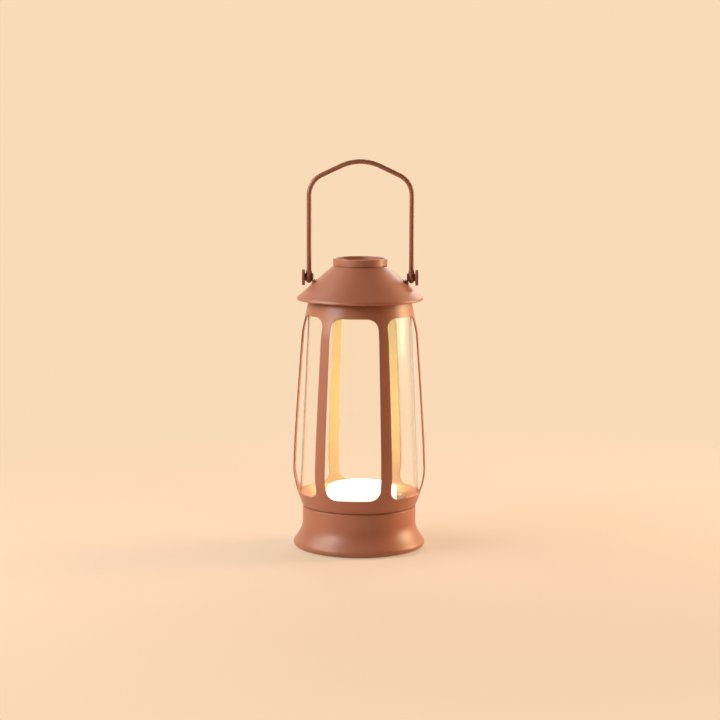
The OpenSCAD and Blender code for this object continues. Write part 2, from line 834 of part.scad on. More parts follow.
// Clear pin that carries the charging light through the wall
module charge_light() {
    color([0.95, 0.97, 0.92, 0.6])
        intersection() {
            translate([0, 0, port_z])
                rotate([-90, 0, 0]) {
                    translate([0, 0, board_rear - 1.6])
                        cylinder(r = glow_r + 0.6, h = neck_in - board_rear + 1.3, $fn = small_fn);
                    translate([0, 0, board_rear])
                        cylinder(r = glow_r, h = neck_r, $fn = small_fn);
                }
            cylinder(r = neck_r, h = base_h, $fn = round_fn);
        }
}

// Two wires from the light's board, through the grommet, to the control board's connector
module led_wires() {
    top = deck_top + led_board_t + lead_r + seat_gap;
    plug_y = board_front + plug_gap + plug.y / 2;
    run_z = (plug_top + grommet_low) / 2;
    color([0.85, 0.12, 0.10])
        for (side = [-1, 1])
            wire([[light_x + side * 6, 0, top], [light_x + side * 1.1, 0, top],
                [light_x + side * 1.1, 0, run_z],
                [light_x + side * 1.5, plug_y, run_z],
                [light_x + side * 1.5, plug_y, plug_top + seat_gap]], lead_r);
}

// Two wires from the cell's contacts to the control board
module battery_wires() {
    pad_x = board_half - 6;
    start_z = strip_top + lead_r + seat_gap;
    color([0.12, 0.12, 0.12])
        for (side = [-1, 1])
            wire([[side * strip_x, cell_y + 2, start_z],
                [side * strip_x, cell_y + 2, board_top + 3],
                [side * (pad_x + 4), board_front - 3, board_top + 3],
                [side * pad_x, board_front + 1.5, board_top + lead_r + seat_gap]], lead_r);
}

module wire_grommet() {
    color([0.08, 0.08, 0.08])
        translate([light_x, 0, 0])
            rotate_extrude($fn = small_fn)
                polygon([[lead_hole_r - 0.8, grommet_low], [lead_hole_r + 2, grommet_low],
                    [lead_hole_r + 2, base_h - seat_gap], [lead_hole_r + 0.9, base_h - seat_gap],
                    [lead_hole_r + 0.9, deck_top - seat_gap], [lead_hole_r - 0.8, deck_top - seat_gap]]);
}

module roof() {
    color(clay)
        difference() {
            rotate_extrude($fn = round_fn)
                polygon(concat(
                    arc([roof_r - roof_wall, hem_z], roof_wall, -180, 0, arc_steps),
                    arc([bend_r, bend_z], rim_bend, 7, 90 - roof_slope, arc_steps),
                    [[roof_flat_r, roof_top], [collar_hole_r, roof_top],
                        [collar_hole_r, roof_top - roof_wall],
                        [roof_flat_in, roof_top - roof_wall],
                        [roof_r - hem_t, cone_z(roof_r - hem_t) - under_cone]]));
            rivet_places()
                translate([0, 0, -3 * roof_wall])
                    cylinder(r = rivet_hole_r, h = 6 * roof_wall, $fn = small_fn);
        }
}

// Frame on the roof's surface, with z along its normal, at the rivet on one side of an ear
module rivet_place(turn, side) {
    rotate([0, 0, turn + side * rivet_angle])
        translate([foot_mid_r, 0, cone_z(foot_mid_r)])
            rotate([0, roof_slope, 0])
                children();
}

module rivet_places() {
    for (turn = [0, 180], side = [-1, 1])
        rivet_place(turn, side)
            children();
}

// Three bent brackets between the cage's upper flange and the roof's inside
module roof_brackets() {
    function leaf_z(r) = cone_z(r) - under_cone - seat_gap;
    drop = bracket_t / cos(roof_slope);
    inner = bracket_in + bracket_t;
    color(zinc)
        difference() {
            on_ring(0, bracket_angles)
                rotate([0, 0, -90])
                    rotate([90, 0, 0])
                        linear_extrude(height = bracket_w, center = true)
                            polygon([[bracket_in, cage_top], [bracket_out, cage_top],
                                [bracket_out, cage_top + bracket_t], [inner, cage_top + bracket_t],
                                [inner, leaf_z(inner) - drop],
                                [bracket_out, leaf_z(bracket_out) - drop],
                                [bracket_out, leaf_z(bracket_out)], [bracket_in, leaf_z(bracket_in)]]);
            rotate_extrude($fn = round_fn)
                polygon([[bracket_in - 5, leaf_z(bracket_in - 5)],
                    [bracket_out + 5, leaf_z(bracket_out + 5)],
                    [bracket_out + 5, roof_top], [bracket_in - 5, roof_top]]);
            on_ring(bracket_screw, bracket_angles)
                translate([0, 0, cage_top - over])
                    cylinder(r = screw_r + thread_gap, h = bracket_t + 2 * over, $fn = small_fn);
        }
}

module roof_screws() {
    color(steel)
        on_ring(bracket_screw, bracket_angles)
            translate([0, 0, cage_top - cage_wall])
                screw_up(screw_r, cage_wall + bracket_t + 1, screw_head_r, screw_head_h);
}

// Open ring on the roof, with a spigot in the roof's hole and a swaged lip below it
module collar() {
    lip = collar_wall / 2;
    spigot_r = collar_hole_r - collar_gap;
    swage_top = roof_top - roof_wall - seat_gap;
    swage_r = roof_flat_in - 2 * seat_gap;
    color(clay)
        rotate_extrude($fn = round_fn)
            polygon(concat(
                [[collar_r, roof_top]],
                arc([collar_r - lip, roof_top + collar_h - lip], lip, 0, 180, 2 * arc_steps),
                [[collar_in, swage_top - 1], [swage_r, swage_top - 1], [swage_r, swage_top],
                    [spigot_r, swage_top], [spigot_r, roof_top]]));
}

// Ear: a foot plate formed to the roof's cone, and an upright tab with the pivot's hole
module ear() {
    function sole_z(r) = cone_z(r) + seat_gap;
    rise = ear_foot_t / cos(roof_slope);
    color(clay_dark)
        difference() {
            union() {
                intersection() {
                    rotate_extrude($fn = round_fn)
                        polygon([[foot_start_r, sole_z(foot_start_r)],
                            [foot_end_r, sole_z(foot_end_r)],
                            [foot_end_r, sole_z(foot_end_r) + rise],
                            [foot_start_r, sole_z(foot_start_r) + rise]]);
                    translate([0, -foot_half_w, 0])
                        cube([foot_end_r + over, 2 * foot_half_w, roof_top]);
                }
                rotate([90, 0, 0])
                    linear_extrude(height = 2 * ear_r, center = true)
                        polygon([[ear_in, sole_z(ear_in) + rise / 2],
                            [ear_out, sole_z(ear_out) + rise / 2],
                            [ear_out, pivot_z], [ear_in, pivot_z]]);
                translate([ear_in, 0, pivot_z])
                    rotate([0, 90, 0])
                        cylinder(r = ear_r, h = ear_t, $fn = small_fn);
            }
            translate([ear_in - over, 0, pivot_z])
                rotate([0, 90, 0])
                    cylinder(r = pin_r + thread_gap, h = ear_t + 2 * over, $fn = small_fn);
            for (side = [-1, 1])
                rivet_place(0, side)
                    cylinder(r = rivet_hole_r, h = 3 * ear_foot_t, $fn = small_fn);
        }
}

module right_ear() {
    ear();
}

module left_ear() {
    rotate([0, 0, 180])
        ear();
}

module ear_rivets() {
    bow = rivet_head_r * rivet_head_r / (2 * foot_mid_r) * sin(roof_slope);
    top = seat_gap * cos(roof_slope) + ear_foot_t + seat_gap;
    bottom = -roof_wall - bow - seat_gap;
    color(clay_dark)
        rivet_places() {
            translate([0, 0, bottom - rivet_head_t / 2])
                cylinder(r = rivet_r, h = top - bottom + rivet_head_t, $fn = small_fn);
            translate([0, 0, top])
                cylinder(r = rivet_head_r, h = rivet_head_t, $fn = small_fn);
            translate([0, 0, bottom - rivet_head_t])
                cylinder(r = rivet_head_r, h = rivet_head_t, $fn = small_fn);
        }
}

// Shouldered pin with a broad round head; its inner end is riveted flush in the ear
module pivot_pin() {
    bevel = 0.4;
    color(clay_dark)
        translate([0, 0, pivot_z])
            rotate([0, 90, 0])
                rotate_extrude($fn = small_fn * 2)
                    polygon([[0, ear_in], [pin_r, ear_in], [pin_r, head_in],
                        [head_r - bevel, head_in], [head_r, head_in + bevel],
                        [head_r, head_in + head_t - bevel], [head_r - bevel, head_in + head_t],
                        [0, head_in + head_t]]);
}

module right_pivot_pin() {
    pivot_pin();
}

module left_pivot_pin() {
    rotate([0, 0, 180])
        pivot_pin();
}

// Thin washers inside the eyes and thicker spacers outside them
module washers() {
    color(clay_dark)
        for (turn = [0, 180])
            rotate([0, 0, turn])
                translate([0, 0, pivot_z])
                    rotate([0, 90, 0])
                        difference() {
                            union() {
                                translate([0, 0, ear_out])
                                    cylinder(r = washer_r, h = inner_washer_t, $fn = small_fn);
                                translate([0, 0, spacer_in])
                                    cylinder(r = washer_r, h = outer_washer_t, $fn = small_fn);
                            }
                            translate([0, 0, ear_out - over])
                                cylinder(r = pin_r + thread_gap, h = head_in - ear_out + over,
                                    $fn = small_fn);
                        }
}

// Bail of round wire: two legs, two shoulder bends, two straights and the crown
module handle() {
    crown_c = pivot_z + handle_rise - crown_r;
    crown_end = [crown_r * sin(handle_slope), crown_c + crown_r * cos(handle_slope)];
    bend_x = handle_x - handle_bend;
    bend_end_x = bend_x + handle_bend * sin(handle_slope);
    bend_end_z = crown_end.y - (bend_end_x - crown_end.x) * tan(handle_slope);
    bend_c = bend_end_z - handle_bend * cos(handle_slope);
    straight = (bend_end_x - crown_end.x) / cos(handle_slope);
    color(clay_dark)
        difference() {
            union() {
                translate([0, 0, crown_c])
                    rotate([90, 0, 0])
                        rotate([0, 0, 90 - handle_slope])
                            rotate_extrude(angle = 2 * handle_slope, $fn = round_fn)
                                translate([crown_r, 0])
                                    circle(r = wire_r, $fn = small_fn);
                for (turn = [0, 180])
                    rotate([0, 0, turn]) {
                        for (p = [crown_end, [bend_end_x, bend_end_z], [handle_x, bend_c]])
                            translate([p.x, 0, p.y])
                                sphere(r = wire_r + knuckle, $fn = small_fn);
                        translate([crown_end.x, 0, crown_end.y])
                            rotate([0, 90 + handle_slope, 0])
                                cylinder(r = wire_r, h = straight, $fn = small_fn);
                        translate([bend_x, 0, bend_c])
                            rotate([90, 0, 0])
                                rotate_extrude(angle = 90 - handle_slope, $fn = round_fn)
                                    translate([handle_bend, 0])
                                        circle(r = wire_r, $fn = small_fn);
                        translate([handle_x, 0, pivot_z])
                            cylinder(r = wire_r, h = bend_c - pivot_z, $fn = small_fn);
                        translate([0, 0, pivot_z])
                            rotate([0, 90, 0])
                                eye();
                    }
            }
            for (turn = [0, 180])
                rotate([0, 0, turn])
                    translate([handle_x - eye_w, 0, pivot_z])
                        rotate([0, 90, 0])
                            cylinder(r = pin_r + run_gap, h = 2 * eye_w, $fn = small_fn);
        }
}

// Rounded boss about the pivot, crowned across its width
module eye() {
    half = eye_w / 2;
    crown = (half * half + eye_crown * eye_crown) / (2 * eye_crown);
    spread = asin(half / crown);
    rotate_extrude($fn = small_fn * 2)
        polygon(concat([[0, handle_x - half]],
            arc([eye_r - crown, handle_x], crown, -spread, spread, arc_steps),
            [[0, handle_x + half]]));
}

base_shell();
bottom_plate();
foot_ring();
bottom_screws();
standoffs();
deck_plate();
cage();
cage_nuts();
clear_chimney();
light_diffuser();
diffuser_screws();
led_board();
led_chips();
led_board_screws();
battery_tray();
tray_screws();
battery_cell();
battery_contacts();
control_board();
board_screws();
usb_socket();
switch_body();
switch_plunger();
power_button();
charge_light();
led_wires();
battery_wires();
wire_grommet();
roof();
roof_brackets();
roof_screws();
collar();
left_ear();
right_ear();
ear_rivets();
left_pivot_pin();
right_pivot_pin();
washers();
handle();
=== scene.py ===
"""The looks of the lantern table lamp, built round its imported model.

Each new piece is a surface worked out with numpy in millimetres, in the part's own frame. A turned
shell is a profile of (radius, height) carried round the axis. A pierced shell has a ring of faces
round each hole, from the hole's softened edges to the rows and columns of the shell. The handle is
a circle carried along a path. An ear is a foot plate laid round the roof's cone, and an upright
round-topped tab that stands on it. The CAD nodes that keep their shape get a material only. The
camera looks along +Y, so -Y is the front.
"""

import json
import math

import bmesh
import bpy
import numpy as np
from mathutils import Matrix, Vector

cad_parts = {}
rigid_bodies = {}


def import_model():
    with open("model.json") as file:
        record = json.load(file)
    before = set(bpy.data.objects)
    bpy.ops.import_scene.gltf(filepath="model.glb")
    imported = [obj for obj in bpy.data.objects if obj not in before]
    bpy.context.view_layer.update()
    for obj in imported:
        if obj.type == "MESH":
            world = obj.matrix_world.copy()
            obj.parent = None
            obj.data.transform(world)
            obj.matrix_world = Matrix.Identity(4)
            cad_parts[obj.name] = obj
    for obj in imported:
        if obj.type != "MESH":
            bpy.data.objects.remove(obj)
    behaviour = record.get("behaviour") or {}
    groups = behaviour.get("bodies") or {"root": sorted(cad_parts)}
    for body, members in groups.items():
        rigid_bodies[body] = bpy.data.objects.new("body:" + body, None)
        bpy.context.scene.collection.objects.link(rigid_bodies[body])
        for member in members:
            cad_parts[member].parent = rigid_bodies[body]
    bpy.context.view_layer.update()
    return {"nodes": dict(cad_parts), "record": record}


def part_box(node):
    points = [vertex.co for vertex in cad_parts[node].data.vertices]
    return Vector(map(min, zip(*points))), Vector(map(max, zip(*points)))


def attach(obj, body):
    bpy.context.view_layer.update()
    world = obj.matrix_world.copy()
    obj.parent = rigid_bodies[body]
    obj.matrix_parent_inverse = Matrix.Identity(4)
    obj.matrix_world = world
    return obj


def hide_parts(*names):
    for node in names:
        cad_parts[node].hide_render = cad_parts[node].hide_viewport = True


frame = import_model()

MM = 0.001

# Camera: focal length in pixels of the square frame, the tilt down, the small roll and the aim
FRAME_PX = 720
FOCAL_PX = 2100
SENSOR_MM = 36
CAMERA_PITCH = math.radians(7.2)
CAMERA_ROLL = math.radians(0.25)
CAMERA_AIM = (0.0002, 0.0, 0.1589)
CAMERA_DISTANCE = 1.7647

# Sheet thicknesses, mm
BASE_WALL = 1.6
CAGE_WALL = 1.2
ROOF_WALL = 1.2
EAR_WALL = 1.2
COLLAR_WALL = 1.95

# Base, mm and degrees. A pull is the length of a curve's handle at one of its ends.
NECK_R = 47.75
FLARE_TOP = 23.0
FLARE_PULL_LOW = 5.0
FLARE_PULL_HIGH = 7.5
BASE_EDGE = 3.5
BASE_EDGE_TURN = 34
BASE_LIP = 5.1
LIP_SOFT = 0.5
LIP_CLEAR = 0.4
FLANGE_R = 38.35
FLANGE_SOFT = 0.7

# Holes at the rear of the neck, mm. The neck is pierced between the two heights of its band.
NECK_BAND = (23.5, 33.1)
PORT_X = 10.0
PORT_Z = 28.23
BUTTON_HOLE_R = 4.3
SOCKET_HALF_W = 4.77
SOCKET_HALF_H = 1.93
CHARGE_HOLE_R = 1.2
HOLE_MARGIN = 0.9
HOLE_EDGE = 0.3
PLAIN_STEP = math.radians(2)

# Cage, mm. Pulls with two values are whole handles.
CAGE_FOOT_R = 47.85
FOOT_PULL = np.array([3.4, 8.0])
BELLY_R = 55.85
BELLY_UP = 30.3
BELLY_PULL_LOW = 10.0
BELLY_PULL_HIGH = 18.0
SHOULDER_R = 48.9
SHOULDER_UP = 143.3
SHOULDER_PULL_LOW = 40.0
SHOULDER_PULL_HIGH = 4.5
TAPER_LEAN = 0.075
BAND_SHARE = 0.55
BAND_PULL = np.array([1.1, -4.6])
CAGE_TOP_R = 42.7
CAGE_SOFT = 1.0
UPPER_FLANGE_R = 32.0

# Windows, mm. WINDOW_W is about their width, and only spaces their points.
BARS = 6
BAR_ANGLE = math.radians(10.5)
CAGE_TURN = math.radians(-6)
WINDOW_UP = 11.1
WINDOW_H = 150.0
WINDOW_W = 40.0
WINDOW_CORNER = 9.5
BELOW_WINDOW = 6.0
ABOVE_WINDOW = 5.0

# Clear chimney, mm
CLEAR_GAP = 0.3
CLEAR_WALL = 1.0
CLEAR_LAP = 3.9

# Light, mm
LIGHT_EDGE = 4.0
LIGHT_WALL = 2.0
LIGHT_FOOT_SOFT = 0.3
LIGHT_POLE_R = 0.5

# Roof and collar, mm and degrees
ROOF_SLOPE = math.radians(41.3)
ROOF_BREAK = 0.3
RIM_BEND = 2.5
RIM_TURN = 7
HEM_CORNER_R = 0.6
HEM_CORNER_H = 0.5
COLLAR_LAND = 0.2
COLLAR_HOLE_R = 21.75
COLLAR_FOOT_SOFT = 0.3
GROOVE_DEPTH = 0.7
GROOVE_H = 0.75
SPIGOT_GAP = 0.15
SWAGE_H = 1.0

# Handle and its eyes, mm. Above the pivot, LEG_UP is where a leg starts and FILLET_UP where the
# fillet does, and the steps are finer over the first LEG_FINE of the leg.
WIRE_R = 2.0
HANDLE_X = 42.8
HANDLE_BEND = 18.5
HANDLE_SLOPE = math.radians(25.2)
CROWN_R = 38.0
LEG_UP = 2.75
LEG_FINE = 8.0
FILLET_UP = 4.6
EYE_FILLET = 0.55
EYE_R = 5.0
EYE_W = 4.2
EYE_CROWN = 1.2
EYE_EDGE = 0.25

# Pivot pins, mm. The dish is the hollow in a head's face.
PIN_R = 1.5
PIN_TIP = 0.2
PIN_HEAD_T = 2.4
PIN_HEAD_SOFT = 0.5
DISH_R = 1.2
DISH_EDGE = 0.25
DISH_DEPTH = 0.28

# Ears, mm
EAR_R = 3.5
EAR_SPREAD = 0.7
EAR_SOFT = 0.25
EAR_FOOT = 5.0
EAR_FOOT_T = 0.8
EAR_FOOT_CORNER = 1.2

# Clearances, mm: round the pins, and under what sits on the roof
RUN_GAP = 0.05
SEAT_GAP = 0.05

# What stands on both sides is made at the right, and mirrored by the side's sign
SIDES = ((1, "right"), (-1, "left"))

# Angles of a full turn, and how near two points are to count as one, on a line and in a mesh
FULL_TURN = np.linspace(0, 2 * math.pi, 192, endpoint=False)
SAME_MM = 1e-7
WELD_M = 1e-6


# ---------------------------------------------------------------- camera


def add_camera():
    """Camera at the photograph's viewing angle, which looks down a little at the lamp's middle"""
    data = bpy.data.cameras.new("camera")
    data.sensor_width = SENSOR_MM
    data.lens = FOCAL_PX * SENSOR_MM / FRAME_PX
    data.clip_start = 0.05
    camera = bpy.data.objects.new("camera", data)
    bpy.context.scene.collection.objects.link(camera)
    away = np.array([0, -math.cos(CAMERA_PITCH), math.sin(CAMERA_PITCH)])
    camera.location = np.array(CAMERA_AIM) + CAMERA_DISTANCE * away
    tilt = Matrix.Rotation(math.pi / 2 - CAMERA_PITCH, 3, "X")
    roll = Matrix.Rotation(CAMERA_ROLL, 3, "Z")
    camera.rotation_mode = "QUATERNION"
    camera.rotation_quaternion = (tilt @ roll).to_quaternion()
    bpy.context.scene.camera = camera


# ---------------------------------------------------------------- lines and profiles


def bezier(a, b, c, d, steps):
    """Cubic curve with the end points a and d and the handles b and c"""
    a, b, c, d = (np.array(p, float) for p in (a, b, c, d))
    t = np.linspace(0, 1, steps + 1)[:, None]
    u = 1 - t
    return u**3 * a + 3 * u * u * t * b + 3 * u * t * t * c + t**3 * d


def arc(centre, radius, start, end, steps):
    """Points centre + radius (cos, sin) for angles in degrees from start to end"""
    angle = np.radians(np.linspace(start, end, steps + 1))
    return np.array(centre) + radius * np.stack([np.cos(angle), np.sin(angle)], 1)


def line(a, b, steps):
    """Points spaced evenly from a to b"""
    return np.linspace(np.array(a, float), np.array(b, float), steps + 1)


def path(*stretches):
    """Stretches set end to end, without the points that they repeat"""
    points = np.vstack([np.atleast_2d(s) for s in stretches])
    apart = np.linalg.norm(np.diff(points, axis=0), axis=1) > SAME_MM
    return points[np.concatenate([[True], apart])]


def normals(points):
    """Unit normals of a line in its plane, to the right of its run"""
    run = np.gradient(points, axis=0)
    run /= np.linalg.norm(run, axis=1)[:, None]
    return np.stack([run[:, 1], -run[:, 0]], 1)


def shifted(profile, distance):
    """A profile that runs upwards, moved inwards by distance along its own normals"""
    return profile - distance * normals(profile)


def constant(value):
    """Function that gives the same value at every height"""
    return lambda z: value + 0 * z


def radius_line(profile):
    """Function that gives an upward profile's radius at a height"""
    order = np.argsort(profile[:, 1])
    return lambda z: np.interp(z, profile[order, 1], profile[order, 0])


def softened(radius):
    """How far in and how deep the steps over a rounded edge lie, from its face to its side"""
    bend = np.linspace(0, math.pi / 2, 5)
    return radius * (1 - np.sin(bend)), radius * (1 - np.cos(bend))


# ---------------------------------------------------------------- surfaces

# A surface is a grid of points, and whether its rows and its columns close on themselves


def turned(profile, angles=FULL_TURN, closed=False, full=True):
    """Profile carried round the axis: (r sin a, -r cos a, height), one row for each point.

    closed says that the profile ends where it starts, and full that the angles go all round.
    """
    r, z = profile[:, :1], profile[:, 1:]
    grid = np.stack([r * np.sin(angles), -r * np.cos(angles), z + 0 * angles], -1)
    return grid, closed, full


def about_pivot(profile, side, around, closed=False):
    """Profile of (radius, distance from the middle) carried round the handle's pivot axis"""
    a = np.linspace(0, 2 * math.pi, around, endpoint=False)
    r, x = profile[:, :1], profile[:, 1:]
    grid = np.stack([side * (x + 0 * a), r * np.cos(a), PIVOT_Z + r * np.sin(a)], -1)
    return grid, closed, True


def grid_faces(rows, columns, wrap_rows, wrap_columns):
    """Indices of the quads between neighbouring points of a grid"""
    r = np.arange(rows if wrap_rows else rows - 1)
    c = np.arange(columns if wrap_columns else columns - 1)
    r, c = (g.ravel() for g in np.meshgrid(r, c, indexing="ij"))
    r_next, c_next = (r + 1) % rows, (c + 1) % columns
    return np.stack(
        [r * columns + c, r * columns + c_next, r_next * columns + c_next, r_next * columns + c], 1
    )


def make_piece(name, surfaces, body, slot, replaced):
    """One mesh of the surfaces, welded where they meet, with its faces outwards"""
    points, faces, first = [], [], 0
    for grid, wrap_rows, wrap_columns in surfaces:
        rows, columns = grid.shape[:2]
        faces.append(grid_faces(rows, columns, wrap_rows, wrap_columns) + first)
        points.append(grid.reshape(-1, 3))
        first += rows * columns
    mesh = bpy.data.meshes.new(name)
    mesh.from_pydata(np.concatenate(points) * MM, [], np.concatenate(faces).tolist())
    shape = bmesh.new()
    shape.from_mesh(mesh)
    bmesh.ops.remove_doubles(shape, verts=shape.verts, dist=WELD_M)
    bmesh.ops.recalc_face_normals(shape, faces=shape.faces)
    shape.to_mesh(mesh)
    shape.free()
    mesh.polygons.foreach_set("use_smooth", np.ones(len(mesh.polygons), bool))
    mesh.materials.append(coats[slot])
    piece = bpy.data.objects.new(name, mesh)
    bpy.context.scene.collection.objects.link(piece)
    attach(piece, body)
    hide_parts(*replaced)


# ---------------------------------------------------------------- holes in shells


def along(points, shares):
    """Points at shares of a line's length"""
    steps = np.linalg.norm(np.diff(points, axis=0), axis=1)
    length = np.concatenate([[0], np.cumsum(steps)])
    return np.stack([np.interp(shares * length[-1], length, points[:, k]) for k in (0, 1)], 1)


def side_shares(corner, corner_steps, middle_steps):
    """Shares of a hole's side, closer together over its two half corners"""
    return np.concatenate(
        [
            np.linspace(0, corner, corner_steps + 1)[:-1],
            np.linspace(corner, 1 - corner, middle_steps + 1)[:-1],
            np.linspace(1 - corner, 1, corner_steps + 1),
        ]
    )


def hole_outline(half_width, low, high, corner, middle, across, up):
    """Function of a margin that gives a rounded hole's outline, that much outside it.

    The outline runs anticlockwise from the middle of its lower left corner, as points (x, z).
    half_width gives half the hole's width at a height. across and up are the shares at which the
    points lie on its lower and upper sides, and on its left and right sides.
    """
    corner_steps = 24
    half = corner_steps // 2
    flip = np.array([-1, 1])

    def outline(margin):
        radius = corner + margin
        low_c, high_c = low + corner, high - corner
        heights = np.linspace(low_c, high_c, 41)
        side = np.stack([half_width(heights) + margin, heights], 1)
        lower = arc((half_width(low_c) - corner, low_c), radius, -90, 0, corner_steps)
        upper = arc((half_width(high_c) - corner, high_c), radius, 0, 90, corner_steps)
        bottom = path(lower[: half + 1][::-1] * flip, lower[: half + 1])
        right = path(lower[half:], side, upper[: half + 1])
        top = path(upper[half:], (upper[half:] * flip)[::-1])
        left = (right * flip)[::-1]
        sides = [along(bottom, across), along(right, up), along(top, across), along(left, up)]
        return np.vstack([s[:-1] for s in sides]) + np.array([middle, 0])

    return outline


def pierced_patch(outer, inner, wall, outline, columns, rows, turn):
    """Ring of faces between a rectangle of a shell and the hole in it.

    Round the ring the points follow the hole's outline, and the rectangle's columns and rows.
    Across it they run over the outer face from the rectangle to the hole, round the hole's two
    softened edges, and back over the inner face. A point is (share of the way to the rectangle,
    margin outside the hole, depth in the wall), and the hole's sides run straight through.
    """
    margins, depths = softened(HOLE_EDGE)
    rings = [(share, HOLE_EDGE, 0) for share in (1, 0.72, 0.46, 0.24, 0.1)]
    rings += [(0, margin, depth) for margin, depth in zip(margins, depths)]
    rings += [(share, margin, wall - depth) for share, margin, depth in rings[::-1]]
    bottom, top = (np.stack([columns, 0 * columns + z], 1) for z in (rows[0], rows[-1]))
    left, right = (np.stack([0 * rows + a, rows], 1) for a in (columns[0], columns[-1]))
    rectangle = np.vstack([side[:-1] for side in (bottom, right, top[::-1], left[::-1])])
    grid = []
    for share, margin, depth in rings:
        hole = outline(margin)
        r_hole = outer(hole[:, 1]) + depth / wall * (inner(hole[:, 1]) - outer(hole[:, 1]))
        angle = share * rectangle[:, 0] + (1 - share) * np.arcsin(hole[:, 0] / r_hole)
        z = share * rectangle[:, 1] + (1 - share) * hole[:, 1]
        r = outer(z) + depth / wall * (inner(z) - outer(z))
        grid.append(np.stack([r * np.sin(angle + turn), -r * np.cos(angle + turn), z], 1))
    return np.array(grid), False, True


# ---------------------------------------------------------------- materials

# Range over which a noise's middle values lie
NOISE_LOW = 0.3
NOISE_HIGH = 0.7

# Clear sheet: how much it bends light, and the share of the lamps' light that it lets through
SHEET_IOR = 1.15
SHEET_SHARE = 0.79


class Nodes:
    """Node tree of a material or a world, with short ways to add and link nodes"""

    def __init__(self, owner, output="ShaderNodeOutputMaterial"):
        owner.use_nodes = True
        self.owner = owner
        self.tree = owner.node_tree
        self.tree.nodes.clear()
        self.output = self.add(output)

    def add(self, kind, **values):
        """New node with these properties"""
        node = self.tree.nodes.new(kind)
        for key, value in values.items():
            setattr(node, key, value)
        return node

    def link(self, a, b):
        """Link from the output a to the input b"""
        self.tree.links.new(a, b)

    def coloured(self, kind, colour):
        """New shader node of one colour"""
        node = self.add(kind)
        node.inputs["Color"].default_value = (*colour, 1)
        return node

    def shader(self, colour, roughness, metallic=0.0, **sockets):
        """Principled shader linked to the output"""
        node = self.add("ShaderNodeBsdfPrincipled")
        node.inputs["Base Color"].default_value = (*colour, 1)
        node.inputs["Roughness"].default_value = roughness
        node.inputs["Metallic"].default_value = metallic
        for key, value in sockets.items():
            node.inputs[key.replace("_", " ")].default_value = value
        self.link(node.outputs[0], self.output.inputs["Surface"])
        return node

    def place(self):
        """Object coordinates"""
        return self.add("ShaderNodeTexCoord").outputs["Object"]

    def noise(self, grain_mm, detail=3.0, stretch=(1, 1, 1)):
        """Noise on object coordinates whose blotches are about grain_mm wide"""
        mapping = self.add("ShaderNodeMapping")
        mapping.inputs["Scale"].default_value = stretch
        self.link(self.place(), mapping.inputs["Vector"])
        noise = self.add("ShaderNodeTexNoise")
        noise.inputs["Scale"].default_value = 1 / (grain_mm * MM)
        noise.inputs["Detail"].default_value = detail
        self.link(mapping.outputs["Vector"], noise.inputs["Vector"])
        return noise.outputs["Fac"]

    def between(self, fac, low, high, start=NOISE_LOW, end=NOISE_HIGH, **values):
        """Value that runs from low to high as fac runs from start to end"""
        ramp = self.add("ShaderNodeMapRange", **values)
        ramp.inputs["From Min"].default_value = start
        ramp.inputs["From Max"].default_value = end
        ramp.inputs["To Min"].default_value = low
        ramp.inputs["To Max"].default_value = high
        self.link(fac, ramp.inputs["Value"])
        return ramp.outputs["Result"]

    def tint(self, fac, colour, other):
        """Colour that runs from colour to other with fac"""
        mix = self.add("ShaderNodeMix", data_type="RGBA")
        mix.inputs["A"].default_value = (*colour, 1)
        mix.inputs["B"].default_value = (*other, 1)
        self.link(fac, mix.inputs["Factor"])
        return mix.outputs["Result"]

    def bump(self, fac, depth_mm, normal=None):
        """Bump whose height is depth_mm times fac"""
        bump = self.add("ShaderNodeBump")
        bump.inputs["Distance"].default_value = depth_mm * MM
        self.link(fac, bump.inputs["Height"])
        if normal is not None:
            self.link(normal, bump.inputs["Normal"])
        return bump.outputs["Normal"]

    def math(self, operation, a, b):
        """Sum, product or other operation on two values"""
        node = self.add("ShaderNodeMath", operation=operation)
        self.link(a, node.inputs[0])
        self.link(b, node.inputs[1])
        return node.outputs[0]

    def rays(self, first, *others):
        """1 for rays of any of these kinds, otherwise 0"""
        kinds = self.add("ShaderNodeLightPath").outputs
        seen = kinds[first]
        for other in others:
            seen = self.math("MAXIMUM", seen, kinds[other])
        return seen

    def blend(self, fac, one, other):
        """Output that shows one shader where fac is 0 and the other where it is 1"""
        mix = self.add("ShaderNodeMixShader")
        self.link(fac, mix.inputs["Fac"])
        self.link(one.outputs[0], mix.inputs[1])
        self.link(other.outputs[0], mix.inputs[2])
        self.link(mix.outputs[0], self.output.inputs["Surface"])


def linear(red, green, blue):
    """Linear colour from screen values of 0 to 255"""
    values = np.array([red, green, blue]) / 255
    return tuple(np.where(values <= 0.04045, values / 12.92, ((values + 0.055) / 1.055) ** 2.4))


def shaded(colour, factor):
    """Colour made darker or paler by a factor"""
    return tuple(min(1.0, c * factor) for c in colour)


def powder_coat(name, colour):
    """Matt powder coat: fine leathery grain, slow drift of colour and of gloss"""
    n = Nodes(bpy.data.materials.new(name))
    shader = n.shader(colour, 0.38)
    drift = n.between(n.noise(grain_mm=26, detail=2), 0, 1)
    n.link(n.tint(drift, shaded(colour, 0.965), shaded(colour, 1.035)), shader.inputs["Base Color"])
    n.link(n.between(n.noise(grain_mm=1.6, detail=4), 0.34, 0.42), shader.inputs["Roughness"])
    grain = n.bump(n.noise(grain_mm=0.45, detail=2), depth_mm=0.012)
    ripple = n.bump(n.noise(grain_mm=3.2, detail=1), depth_mm=0.02, normal=grain)
    n.link(ripple, shader.inputs["Normal"])
    return n.owner


